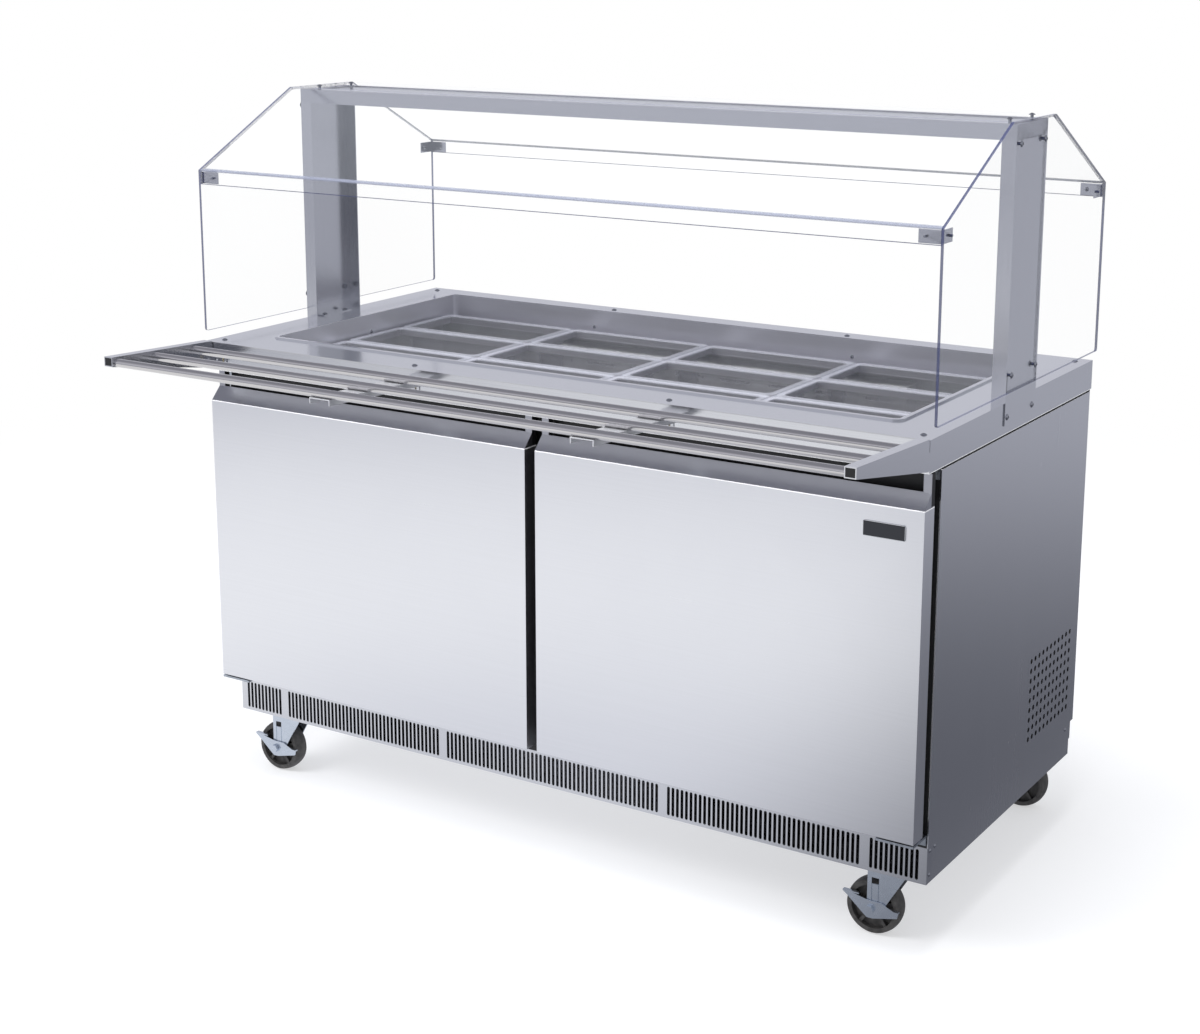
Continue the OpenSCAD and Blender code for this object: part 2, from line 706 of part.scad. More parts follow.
module evaporator_cover() color("lightgray") {
    difference() {
        block([-cover_w/2, cover_y, cover_z], [cover_w/2, liner_back_y, cover_z + cover_h]);
        block([-cover_w/2 + sheet_t, cover_y + sheet_t, cover_z + sheet_t],
              [cover_w/2 - sheet_t, liner_back_y + overrun, cover_z + cover_h - sheet_t]);
        along_y(cover_y - overrun, cover_y + sheet_t + overrun) {
            for (i = [0:cover_slots - 1]) for (k = [1, 2])
                translate([(i - (cover_slots - 1)/2)*cover_w/cover_slots,
                           cover_z + cover_h - k*cover_slot_pitch_z])
                    rotate(90) slot(cover_slot_h, cover_slot_w);
            translate([0, evap_fan_z]) circle(r = evap_fan_r + fan_gap);
        }
    }
    // finger guard over the fan opening
    along_y(cover_y, cover_y + sheet_t) translate([0, evap_fan_z]) {
        for (r = ring_shares) difference() {
            circle(r = r*evap_fan_r + ring_w);
            circle(r = r*evap_fan_r);
        }
        for (a = [0, 90]) rotate(a) square([2*(evap_fan_r + fan_gap), ring_w], center = true);
    }
    // fan motor on the liner's back wall, with its shaft
    rod([0, liner_back_y - evap_motor_l, evap_fan_z], [0, liner_back_y, evap_fan_z], 2*evap_motor_r);
    rod([0, cover_y + 2*sheet_t, evap_fan_z], [0, liner_back_y - evap_motor_l, evap_fan_z], 2*shaft_r);
    // thermostat spindle
    rod([dial_x, cover_y - dial_h/2, dial_z], [dial_x, cover_y, dial_z], 2*shaft_r);
}

module evaporator_fan() color("black")
    translate([0, liner_back_y - evap_motor_l - fan_gap, evap_fan_z]) rotate([90, 0, 0])
        fan_wheel(evap_fan_r, evap_fan_hub_r, evap_fan_w, shaft_r + run_gap, blade_pitch);

module thermostat_dial() color("black") translate([dial_x, cover_y - seat_gap, dial_z]) rotate([90, 0, 0])
    difference() {
        union() {
            cylinder(r = dial_r, h = dial_h/2);
            translate([0, 0, dial_h/2]) cylinder(r = dial_r*grip_share, h = dial_h/2);
            translate([-ring_w/2, 0, dial_h]) cube([ring_w, dial_r*grip_share, ring_w/2]);
        }
        translate([0, 0, -overrun]) cylinder(r = shaft_r + run_gap, h = dial_h/2 + overrun);
    }

gland_cable_d = 9;
gland_flange_d = 30;
gland_l = 12;
gland_nose_d = 16;

module cord_gland() color("black") translate([gland_x, cabinet_back_y, gland_z]) rotate([-90, 0, 0])
    difference() {
        union() {
            translate([0, 0, -sheet_t]) cylinder(d = gland_d - 2*fixed_gap, h = sheet_t);
            cylinder(d = gland_flange_d, h = ring_w, $fn = hex_sides);
            cylinder(d = gland_nose_d, h = gland_l);
            translate([0, 0, -sheet_t - ring_w]) cylinder(d = gland_flange_d, h = ring_w);
        }
        translate([0, 0, -sheet_t - ring_w - overrun])
            cylinder(d = gland_cable_d, h = gland_l + sheet_t + ring_w + 2*overrun);
    }

// Worktop and well

counter_screw_front_in = 30;
counter_screw_back_in = 28;
counter_screw_shares = [-0.484, -0.178, 0.178, 0.484];   // of the worktop's width
counter_screw_spots = [for (s = counter_screw_shares)
    for (y = [front_y + counter_screw_front_in, counter_back_y - counter_screw_back_in]) [s*counter_w, y]];
foot_screw_shares = [0.14, 0.86];
foot_screw_ys = [for (s = foot_screw_shares) post_y + (post_d - foot_d)/2 + s*foot_d];
foot_screw_in = 13;     // post foot screws from the skirt's face
foot_screw_x = skirt_x - foot_screw_in;
tail_screw_shares = [0.07, 0.887];
tail_screw_ys = [for (s = tail_screw_shares) post_y + s*post_d];
tail_screw_low = 24.5;
tail_screw_z = counter_z - tail_screw_low;
well_screw_share = 0.225;
well_screw_x = well_screw_share*well_w;
well_screw_low = 34;
well_screw_z = counter_z - well_screw_low;

module well_outline(grow) translate([0, well_y + well_d/2])
    round_rect(well_w + 2*grow, well_d + 2*grow, well_r + grow);

module counter_top() color("silver") difference() {
    union() {
        difference() {
            block([-skirt_x, front_y, skirt_z], [skirt_x, counter_back_y, counter_z]);
            block([-skirt_x + sheet_t, front_y + sheet_t, skirt_z - overrun],
                  [skirt_x - sheet_t, counter_back_y - sheet_t, board_z]);
        }
        block([-skirt_x + sheet_t, front_y + sheet_t, skirt_z],
              [skirt_x - sheet_t, cabinet_y, skirt_z + sheet_t]);
        translate([0, 0, counter_z]) linear_extrude(bead_h) well_outline(bead_w);
    }
    translate([0, 0, board_z - overrun]) linear_extrude(sheet_t + bead_h + 2*overrun) well_outline(0);
    for (p = counter_screw_spots) rod([p.x, p.y, board_z - overrun], [p.x, p.y, counter_z + overrun], hole_d);
    for (y = foot_screw_ys) mirrored()
        rod([foot_screw_x, y, board_z - overrun], [foot_screw_x, y, counter_z + overrun], hole_d);
    for (y = tail_screw_ys) mirrored()
        rod([skirt_x - sheet_t - overrun, y, tail_screw_z], [skirt_x + overrun, y, tail_screw_z], hole_d);
    for (x = bracket_xs) bracket_cuts(x, front_y, front_y + sheet_t + overrun);
}

module well_liner() color("gray") difference() {
    translate([0, 0, ledge_z - sheet_t]) linear_extrude(well_wall_h + sheet_t + bead_h) well_outline(0);
    translate([0, 0, ledge_z]) linear_extrude(well_wall_h + bead_h + overrun) well_outline(-sheet_t);
    hole_x = pan_block_w/2 - pan_rim_w + ledge_lap;
    block([-hole_x, pan_y + pan_rim_w - ledge_lap, ledge_z - sheet_t - overrun],
          [hole_x, pan_back_y - pan_rim_w + ledge_lap, ledge_z + overrun]);
    mirrored() rod([well_screw_x, well_back_y - sheet_t - overrun, well_screw_z],
                   [well_screw_x, well_back_y + overrun, well_screw_z], small_hole_d);
    mirrored() rod([well_w/2 - sheet_t - overrun, well_y + well_d/2, well_screw_z],
                   [well_w/2 + overrun, well_y + well_d/2, well_screw_z], small_hole_d);
}

module pan_bars() color("gray") translate([0, 0, ledge_z]) linear_extrude(bar_top_z - ledge_z) {
    difference() {
        translate([-pan_block_w/2, pan_y]) square([pan_block_w, pan_block_d]);
        translate([-pan_block_w/2 + bar_edge_w, pan_y + bar_edge_w])
            square([pan_block_w - 2*bar_edge_w, pan_block_d - 2*bar_edge_w]);
    }
    for (r = [1:pan_rows - 1])
        translate([-pan_block_w/2, pan_y + r*pan_pitch_y - (pan_pitch_y - pan_d)/2 - bar_w/2])
            square([pan_block_w, bar_w]);
    for (c = [1:pan_cols - 1])
        translate([-pan_block_w/2 + c*pan_pitch_x - (pan_pitch_x - pan_w)/2 - bar_w/2, pan_y])
            square([bar_w, pan_block_d]);
}

module pan_tier(grow, z0, z1) translate([0, 0, z0]) linear_extrude(z1 - z0)
    round_rect(pan_w + 2*grow, pan_d + 2*grow, pan_r);

module pan(row, col) color("aliceblue", 0.35)
    translate([(col - (pan_cols - 1)/2)*pan_pitch_x, pan_y + pan_d/2 + row*pan_pitch_y, pan_rim_z])
    difference() {
        union() {
            pan_tier(0, -pan_rim_t, 0);
            pan_tier(-pan_rim_w, -pan_shoulder_h, -pan_rim_t);
            pan_tier(-pan_rim_w - pan_step, -pan_h, -pan_shoulder_h);
        }
        pan_tier(-pan_rim_w - pan_wall, pan_wall - pan_shoulder_h, overrun);
        pan_tier(-pan_rim_w - pan_step - pan_wall, pan_wall - pan_h, overrun);
    }

// Tray slide

arm_tip_y = front_y - slide_reach;
support_plate_share = 0.73;     // of a support's plate, left of the channel's middle
bracket_xs = concat([-skirt_x, skirt_x - bracket_w],
    [for (x = support_xs) x - support_plate_share*bracket_w]);

// Height of the arms' upper edge at a place along the reach
function arm_z(y) = arm_back_z + arm_rise*(front_y - y)/slide_reach;

module bracket_cuts(x, y0, y1) along_y(y0 - overrun, y1) translate([x, bracket_z + bracket_h/2]) {
    for (s = bracket_hole_share) translate([s*bracket_w, 0]) circle(d = small_hole_d);
    translate([bracket_slot_share*bracket_w, 0]) slot(bracket_slot_w, bracket_slot_h);
}

module bracket_plate(x) difference() {
    block([x, front_y - sheet_t, bracket_z], [x + bracket_w, front_y, bracket_z + bracket_h]);
    bracket_cuts(x, front_y - sheet_t, front_y + overrun);
}

// Side outline of an end arm in Y and Z: drawn in at the tip and top, and lengthened below
module arm_outline(margin, below) polygon([
    [arm_tip_y + margin, arm_z(arm_tip_y) - arm_tip_h - below],
    [arm_tip_y + margin, arm_z(arm_tip_y) - margin],
    [front_y - arm_seam, arm_z(front_y) - margin],
    [front_y - arm_seam, arm_back_z - arm_back_h - below]]);

// Tube centres in Y and Z
tube_spots = [for (s = tube_in_share) let (y = front_y - s*slide_reach) [y, arm_z(y) - tube_drop - tube_d/2]];

module tray_arm() difference() {
    along_x(skirt_x - arm_w, skirt_x) arm_outline(0, 0);
    along_x(skirt_x - arm_w + sheet_t, skirt_x - sheet_t) arm_outline(sheet_t, overrun);
    for (p = tube_spots)
        rod([skirt_x - arm_w - overrun, p.x, p.y],
            [skirt_x - arm_w + sheet_t + overrun, p.x, p.y], tube_d + 2*fixed_gap);
}

module tray_arms() color("silver") {
    mirrored() tray_arm();
    bracket_plate(bracket_xs[0]);
    bracket_plate(bracket_xs[1]);
}

module tray_support(x) {
    // channel under the tubes
    tip_y = tube_spots[2].x - tube_d/2;
    difference() {
        along_x(x - support_w/2, x + support_w/2) polygon([
            [tip_y, support_top(tip_y) - support_lip], [tip_y, support_top(tip_y)],
            [front_y - sheet_t, support_top(front_y)],
            [front_y - sheet_t, support_top(front_y) - support_lip]]);
        along_x(x - support_w/2 + sheet_t, x + support_w/2 - sheet_t) polygon([
            [arm_tip_y, support_top(arm_tip_y) - 2*support_lip],
            [arm_tip_y, support_top(arm_tip_y) - sheet_t],
            [front_y, support_top(front_y) - sheet_t], [front_y, support_top(front_y) - 2*support_lip]]);
    }
    // web from the channel down to the plate on the skirt
    block([x - support_w/2, front_y - sheet_t, bracket_z + bracket_h - overrun],
          [x + support_w/2, front_y, support_top(front_y)]);
}

function support_top(y) = arm_z(y) - tube_drop - tube_d - fixed_gap;

module tray_supports() color("silver") for (k = [0, 1]) {
    tray_support(support_xs[k]);
    bracket_plate(bracket_xs[k + 2]);
}

tube_end_in = 7;        // tubes stop this far inside the arms' outer faces

module tray_tubes() color("white") for (p = tube_spots) difference() {
    rod([-skirt_x + tube_end_in, p.x, p.y], [skirt_x - tube_end_in, p.x, p.y], tube_d);
    rod([-skirt_x, p.x, p.y], [skirt_x, p.x, p.y], tube_d - 2*tube_t);
}

// Sneeze guard

panel_screw_shares = [0.417, 0.567];    // of the guard's depth
panel_screw_ys = [for (s = panel_screw_shares) guard_y + s*guard_d];
panel_screw_in = 30;    // lower panel screws above the panel's edge
panel_screw_top_in = 5; // upper panel screws below the beam
panel_screw_zs = [guard_low_z + panel_screw_in, post_top_z - panel_screw_top_in];
top_screw_in = 23.4;
top_screw_x = skirt_x - top_screw_in;
top_screw_shares = [0.213, 0.929];      // of the post's depth
top_screw_ys = [for (s = top_screw_shares) post_y + s*post_d];
angle_screw_in = 12;    // angle bracket screws from the bracket's free end
angle_screw_z = guard_shoulder_z - guard_lip_h + angle_low + angle_h/2;

// The guard's side outline in Y and Z, with round lower corners
module guard_outline() {
    y0 = guard_y;
    y1 = guard_back_y;
    difference() {
        polygon([[y0, guard_low_z], [y0, guard_shoulder_z], [flat_y, guard_top_z], [flat_back_y, guard_top_z],
                 [y1, guard_shoulder_z], [y1, guard_low_z]]);
        for (p = [[y0, 0], [y1, 1]]) translate([p[0], guard_low_z]) mirror([p[1], 0]) difference() {
            translate([-overrun, -overrun]) square(guard_r + overrun);
            translate([guard_r, guard_r]) circle(r = guard_r);
        }
    }
}

module x_holes(x0, x1, ys, zs, d) for (y = ys, z = zs)
    rod([x0 - overrun, y, z], [x1 + overrun, y, z], d);

module guard_post() difference() {
    union() {
        block([skirt_x, post_y, counter_z - post_tail], [acrylic_in_x, post_y + post_d, post_top_z]);
        for (y = [post_y, post_y + post_d - sheet_t])
            block([acrylic_in_x - post_flange, y, counter_z], [acrylic_in_x, y + sheet_t, post_top_z]);
        block([skirt_x - foot_w, post_y + (post_d - foot_d)/2, counter_z],
              [skirt_x + overrun, post_y + (post_d + foot_d)/2, counter_z + sheet_t]);
    }
    x_holes(skirt_x, acrylic_in_x, panel_screw_ys, panel_screw_zs, hole_d);
    x_holes(skirt_x, acrylic_in_x, tail_screw_ys, [tail_screw_z], hole_d);
    for (y = foot_screw_ys)
        rod([foot_screw_x, y, counter_z - overrun], [foot_screw_x, y, counter_z + sheet_t + overrun], hole_d);
}

module guard_posts() color("lightsteelblue") mirrored() guard_post();

module guard_beam() color("lightsteelblue") difference() {
    block([-acrylic_in_x, post_y, post_top_z], [acrylic_in_x, post_y + post_d, beam_top_z]);
    block([-skirt_x, post_y + sheet_t, post_top_z - overrun],
          [skirt_x, post_y + post_d - sheet_t, beam_top_z - sheet_t]);
    for (y = top_screw_ys) mirrored()
        rod([top_screw_x, y, post_top_z], [top_screw_x, y, beam_top_z + overrun], hole_d);
}

module guard_canopy() color("lightcyan", 0.35) difference() {
    along_x(-acrylic_in_x, acrylic_in_x) polygon([
        [guard_y, guard_shoulder_z - guard_lip_h], [guard_y, guard_shoulder_z],
        [flat_y, guard_top_z], [flat_back_y, guard_top_z],
        [guard_back_y, guard_shoulder_z], [guard_back_y, guard_shoulder_z - guard_lip_h],
        [guard_back_y - acrylic_t, guard_shoulder_z - guard_lip_h],
        [guard_back_y - acrylic_t, guard_shoulder_z - shoulder_in],
        [flat_back_y - flat_in, beam_top_z], [flat_y + flat_in, beam_top_z],
        [guard_y + acrylic_t, guard_shoulder_z - shoulder_in],
        [guard_y + acrylic_t, guard_shoulder_z - guard_lip_h]]);
    for (y = top_screw_ys) mirrored()
        rod([top_screw_x, y, beam_top_z - overrun], [top_screw_x, y, guard_top_z + overrun], hole_d);
    four_corners() rod([angle_screw_x, guard_y - overrun, angle_screw_z],
                       [angle_screw_x, angle_y + overrun, angle_screw_z], small_hole_d);
}

// How far the canopy's inner bends lie inside its outer ones, along the lip and along the flat top
right_angle = 90;
slope_a = atan2(guard_top - guard_shoulder, (guard_d - guard_flat_d)/2);
shoulder_in = acrylic_t*tan((right_angle - slope_a)/2);
flat_in = acrylic_t*tan(slope_a/2);

module guard_end_panel() difference() {
    along_x(acrylic_in_x, acrylic_out_x) guard_outline();
    x_holes(acrylic_in_x, acrylic_out_x, panel_screw_ys, panel_screw_zs, hole_d);
    x_holes(acrylic_in_x, acrylic_out_x, angle_screw_ys, [angle_screw_z], small_hole_d);
}

angle_y = guard_y + acrylic_t;
angle_screw_x = acrylic_in_x - angle_w + angle_screw_in;
angle_screw_ys = [angle_y + angle_w - angle_screw_in, 2*guard_mid_y - angle_y - angle_w + angle_screw_in];

module guard_end_panels() color("lightcyan", 0.35) mirrored() guard_end_panel();

module angle_bracket() difference() {
    z0 = angle_screw_z - angle_h/2;
    union() {
        block([acrylic_in_x - angle_w, angle_y, z0], [acrylic_in_x, angle_y + sheet_t, z0 + angle_h]);
        block([acrylic_in_x - sheet_t, angle_y, z0], [acrylic_in_x, angle_y + angle_w, z0 + angle_h]);
    }
    rod([angle_screw_x, angle_y - overrun, angle_screw_z],
        [angle_screw_x, angle_y + sheet_t + overrun, angle_screw_z], small_hole_d);
    rod([acrylic_in_x - sheet_t - overrun, angle_screw_ys[0], angle_screw_z],
        [acrylic_in_x + overrun, angle_screw_ys[0], angle_screw_z], small_hole_d);
}

// The child at all four corners of the guard
module four_corners() for (m = [0, 1])
    translate([0, m*2*guard_mid_y, 0]) mirror([0, m, 0]) mirrored() children();

module guard_brackets() color("silver") four_corners() angle_bracket();

// Screws: heads outside, shafts through the pieces that they join

module screw(spot, turn, shaft_l) translate(spot) rotate(turn) dome_screw(dome_d, dome_h, shaft_d, shaft_l);

module small_screw(spot, turn, shaft_l) translate(spot) rotate(turn)
    dome_screw(small_d, small_h, small_shaft_d, shaft_l);

up = [0, 0, 0];
outward = [0, 90, 0];
inward = [0, -90, 0];
forward = [90, 0, 0];
backward = [-90, 0, 0];

module dome_screws() color("gainsboro") {
    for (p = counter_screw_spots) screw([p.x, p.y, counter_z], up, sheet_t);
    mirrored() {
        for (y = foot_screw_ys) screw([foot_screw_x, y, counter_z + sheet_t], up, 2*sheet_t);
        for (y = tail_screw_ys) screw([acrylic_in_x, y, tail_screw_z], outward, 2*sheet_t);
        for (y = top_screw_ys) screw([top_screw_x, y, guard_top_z], up, acrylic_t + sheet_t);
        for (y = panel_screw_ys, z = panel_screw_zs) {
            screw([acrylic_out_x, y, z], outward, acrylic_t + sheet_t + nut_h);
            translate([skirt_x - nut_h, y, z]) rotate(outward)
                cylinder(d = nut_d, h = nut_h, $fn = hex_sides);
        }
        small_screw([well_w/2 - sheet_t, well_y + well_d/2, well_screw_z], inward, sheet_t);
        small_screw([well_screw_x, well_back_y - sheet_t, well_screw_z], forward, sheet_t);
        for (p = base_screw_spots) small_screw([base_w/2, p.x, p.y], outward, sheet_t);
    }
    four_corners() {
        small_screw([angle_screw_x, angle_y + sheet_t, angle_screw_z], backward, acrylic_t + sheet_t);
        small_screw([acrylic_in_x - sheet_t, angle_screw_ys[0], angle_screw_z], inward, acrylic_t + sheet_t);
    }
    for (x = bracket_xs, s = bracket_hole_share)
        small_screw([x + s*bracket_w, front_y - sheet_t, bracket_z + bracket_h/2], forward, 2*sheet_t);
}

// Base screws on each side: distance behind the cabinet's front face, height above the base's lower edge
base_screw_sizes = [[11, 58], [11, 14.5], [31, 59], [656, 56]];
base_screw_spots = [for (p = base_screw_sizes) [cabinet_y + p.x, base_z + p.y]];

// Doors, drawn on the right and mirrored for the left

half_t = sheet_t/2;

module door_skin() difference() {
    union() {
        along_x(door_in_x, door_out_x) folded([
            [door_y + door_skin_d, door_z + half_t], [door_y + half_t, door_z + half_t],
            [door_y + half_t, door_face_z], [door_y + grip_run, door_lip_z - half_t],
            [door_y + grip_run, pocket_floor_z], [door_y + door_skin_d, pocket_floor_z]], sheet_t);
        along_x(door_in_x + door_inset, door_out_x - door_inset) folded([
            [door_y + grip_run, pocket_floor_z], [door_y + door_d - half_t, pocket_floor_z],
            [door_y + door_d - half_t, door_top_z]], sheet_t);
        for (x = [door_in_x, door_out_x - sheet_t]) along_x(x, x + sheet_t) door_side();
        for (x = [door_in_x, door_out_x - cap_w])
            block([x, door_y + grip_run - half_t, pocket_floor_z - half_t],
                  [x + cap_w, door_y + door_skin_d, door_top_z]);
        bush_block(0);
    }
    rod([pin_x, pin_y, door_z - overrun], [pin_x, pin_y, door_z + pin_len + overrun], pin_d + 2*run_gap);
    rod([pin_x, pin_y, door_top_z - pin_len - overrun],
        [pin_x, pin_y, door_top_z + overrun], pin_d + 2*run_gap);
}

module door_side() polygon([
    [door_y, door_z], [door_y, door_face_z], [door_y + grip_run, door_lip_z],
    [door_y + grip_run, door_top_z], [door_y + door_skin_d, door_top_z], [door_y + door_skin_d, door_z]]);

module bush_block(grow) block(
    [door_out_x - 2*pin_in - grow, pin_y - pin_in - grow, door_z],
    [door_out_x, door_y + door_skin_d + grow, door_z + bush_h + grow]);

module door_core() difference() {
    top_z = pocket_floor_z - half_t;
    union() {
        block([door_in_x + sheet_t, door_y + sheet_t, door_z + sheet_t],
              [door_out_x - sheet_t, door_y + door_skin_d, top_z]);
        block([door_in_x + door_inset, door_y + sheet_t, door_z + door_inset/2],
              [door_out_x - door_inset, door_y + door_d, top_z]);
    }
    bush_block(fixed_gap);
    // shallow dish pressed in the inner panel
    block([door_in_x + door_inset + dish_in, door_y + door_d - dish_d, door_z + dish_in],
          [door_out_x - door_inset - dish_in, door_y + door_d + overrun, top_z - dish_in]);
}

module door_gasket() {
    x0 = door_in_x + door_inset;
    x1 = door_out_x - door_inset;
    z0 = door_z + gasket_edge;
    z1 = door_top_z - frame_lap;
    along_y(gasket_y, gasket_y + gasket_t) difference() {
        translate([x0, z0]) square([x1 - x0, z1 - z0]);
        translate([x0 + gasket_w, z0 + gasket_w]) square([x1 - x0 - 2*gasket_w, z1 - z0 - 2*gasket_w]);
    }
}

module right_door_skin() color("whitesmoke") door_skin();
module left_door_skin() color("whitesmoke") mirror([1, 0, 0]) door_skin();
module right_door_core() color("white") door_core();
module left_door_core() color("white") mirror([1, 0, 0]) door_core();
module right_door_gasket() color("black") door_gasket();
module left_door_gasket() color("black") mirror([1, 0, 0]) door_gasket();

hinge_t = 4;
hinge_gap = 2;
hinge_low_w = 68;
hinge_top_t = 3;
hinge_sink = 2;        // the pins' ends inside the plates
hinge_top_w = 30;
hinge_leg_h = 18;
washer_d = 12;

module hinge_pair() {
    low_z = door_z - hinge_gap;
    top_z = door_top_z + hinge_gap;
    hinge_x = pin_x + pin_in;
    block([hinge_x - hinge_low_w, door_y, low_z - hinge_t], [hinge_x, cabinet_y, low_z]);
    block([hinge_x - hinge_low_w, cabinet_y - hinge_t, low_z - hinge_leg_h], [hinge_x, cabinet_y, low_z]);
    rod([pin_x, pin_y, low_z - hinge_sink], [pin_x, pin_y, door_z + pin_len], pin_d);
    rod([pin_x, pin_y, low_z - hinge_sink], [pin_x, pin_y, door_z - seat_gap], washer_d);
    block([hinge_x - hinge_top_w, pin_y - pin_in, top_z], [hinge_x, cabinet_y, top_z + hinge_top_t]);
    block([door_out_x - door_inset + hinge_gap, cabinet_y - hinge_top_t, top_z - hinge_leg_h],
          [hinge_x, cabinet_y, top_z + hinge_top_t]);
    rod([pin_x, pin_y, door_top_z - pin_len], [pin_x, pin_y, top_z + hinge_sink], pin_d);
}

module hinge_brackets() color("dimgray") mirrored() hinge_pair();

// Castors, about the wheel's centre with the axle along Y and the kingpin towards +X

front_castor_in = 61;   // wheel centre plane behind the cabinet's front face
rear_castor_in = 48;    // wheel centre plane in front of the rear beam's back face
plate_w = 80;
plate_l = 94;
plate_t = 3;
race_r = 28;
race_h = 6;
kingpin_r = 6;
crown_r = 30;
crown_t = 5;
kingpin_nut_d = 18;
kingpin_nut_h = 5;
kingpin_sink = 4;       // the kingpin's end inside the race
plate_r = 6;
plate_hole_d = 8;
plate_hole_in = 12;
crown_gap = 0.5;        // race to fork crown, and crown to nut
leg_t = 3;
leg_gap = 2.5;          // wheel face to fork leg
axle_r = 5;
axle_nut_d = 16;
axle_nut_h = 6;
leg_low = 12;
leg_in = 8;
leg_foot = 14;
leg_knee = 28;
crown_edge = 10;        // height of the leg's edge under the crown
lever_t = 2.5;
lever_gap = 0.7;
lever_flange = 7;
strip_w = 14;
strip_groove = 1.2;

castor_spots = [
    [-front_castor_x, cabinet_y + front_castor_in], [front_castor_x, cabinet_y + front_castor_in],
    [-rear_castor_x, beam_back_y - rear_castor_in], [rear_castor_x, beam_back_y - rear_castor_in]];
crown_top = castor_h - wheel_r - plate_t - race_h - crown_gap;
leg_y = wheel_w/2 + leg_gap;
lever_y = leg_y + leg_t + lever_gap;

module at_wheel(k) translate([castor_spots[k].x - castor_trail, castor_spots[k].y, wheel_r]) children();

module castor_plates() color("silver") for (s = castor_spots) translate([s.x, s.y, castor_h]) {
    translate([0, 0, -plate_t]) linear_extrude(plate_t) difference() {
        round_rect(plate_w, plate_l, plate_r);
        for (x = [-1, 1], y = [-1, 1])
            translate([x*(plate_w/2 - plate_hole_in), y*(plate_l/2 - plate_hole_in)])
                circle(d = plate_hole_d);
    }
    translate([0, 0, -plate_t - race_h]) cylinder(r = race_r, h = race_h);
    nut_z = -plate_t - race_h - crown_t - 2*crown_gap - kingpin_nut_h;
    translate([0, 0, nut_z]) cylinder(r = kingpin_r, h = -nut_z - plate_t - race_h + kingpin_sink);
    translate([0, 0, nut_z]) cylinder(d = kingpin_nut_d, h = kingpin_nut_h, $fn = hex_sides);
}

// Outline of a fork leg in X and Z
module leg_outline() {
    right_x = castor_trail + crown_r;
    polygon([[-leg_in, 0], [-leg_in, crown_top], [right_x, crown_top], [right_x, crown_top - crown_edge],
             [leg_knee, leg_low], [leg_foot, -leg_low]]);
    circle(r = leg_low);
    translate([-leg_in, -leg_low]) square([leg_in + leg_foot, leg_low]);
}

// Leg window and the grooves beside the lock strip below it
window_low = 46;
window_h = 12;
groove_low = 12;

module fork(k, braked) color("silver") at_wheel(k) difference() {
    front_out = braked ? lever_y + lever_t + seat_gap : leg_y + leg_t;
    union() {
        for (y = [-leg_y - leg_t, leg_y]) along_y(y, y + leg_t) leg_outline();
        translate([castor_trail, 0, crown_top - crown_t]) cylinder(r = crown_r, h = crown_t);
        block([-leg_in, -leg_y - leg_t, crown_top - crown_t], [castor_trail, leg_y + leg_t, crown_top]);
        rod([0, -front_out - axle_nut_h, 0], [0, leg_y + leg_t + axle_nut_h, 0], 2*axle_r);
        for (y = [-front_out, leg_y + leg_t + axle_nut_h])
            translate([0, y, 0]) rotate(forward) cylinder(d = axle_nut_d, h = axle_nut_h, $fn = hex_sides);
    }
    rod([castor_trail, 0, crown_top - crown_t - overrun], [castor_trail, 0, crown_top + overrun],
        2*(kingpin_r + run_gap));
    if (braked) {
        block([0, -leg_y - leg_t - overrun, window_low], [strip_w, -leg_y + overrun, window_low + window_h]);
        for (x = [0, strip_w - strip_groove])
            block([x, -leg_y - leg_t - overrun, groove_low],
                  [x + strip_groove, -leg_y - leg_t/2, window_low]);
    }
}

spokes = 5;
tread_sides = 150;
tread_crown = 3;
rim_r = 40;
hub_r = 13;
web_w = 12;
spoke_w = 6;

module wheel(k) color("black") at_wheel(k) rotate([90, 0, 0]) difference() {
    union() {
        rotate_extrude() {
            crown_ball = (wheel_w*wheel_w/4 + tread_crown*tread_crown)/(2*tread_crown);
            translate([axle_r, -wheel_w/2]) square([hub_r - axle_r, wheel_w]);
            translate([hub_r - overrun, -web_w/2]) square([rim_r - hub_r + 2*overrun, web_w]);
            intersection() {
                translate([wheel_r - crown_ball, 0]) circle(r = crown_ball, $fn = tread_sides);
                translate([rim_r, -wheel_w/2]) square([wheel_r, wheel_w]);
            }
        }
        for (i = [0:spokes - 1]) rotate(i*360/spokes + 90/spokes)
            translate([hub_r - overrun, -spoke_w/2, -wheel_w/2 + tread_crown])
                cube([rim_r - hub_r + 2*overrun, spoke_w, wheel_w - 2*tread_crown]);
    }
    cylinder(r = axle_r + run_gap/2, h = 2*wheel_w, center = true);
}

// Rocker lever of a front castor, outline in X and Z from the axle
lever_sizes = [[-53, 21.5], [-44, 15], [-15, -10], [-6, -17], [5, -17], [50, -6], [52, 2.5], [44, 5],
               [21, 15], [10, 15], [-2, 15], [-20, 18.5], [-44, 24]];
pedal_sizes = [[-53, -22, 21.5], [40, 52, 2.5]];     // each pedal's ends and lower face

module brake_lever(k) color("silver") at_wheel(k) difference() {
    union() {
        along_y(-lever_y - lever_t, -lever_y) polygon(lever_sizes);
        for (p = pedal_sizes)
            block([p[0], -lever_y - lever_t, p[2]],
                  [p[1], -lever_y + lever_flange - lever_t, p[2] + lever_t]);
    }
    rod([0, -lever_y - lever_t - overrun, 0], [0, overrun, 0], 2*(axle_r + run_gap));
}

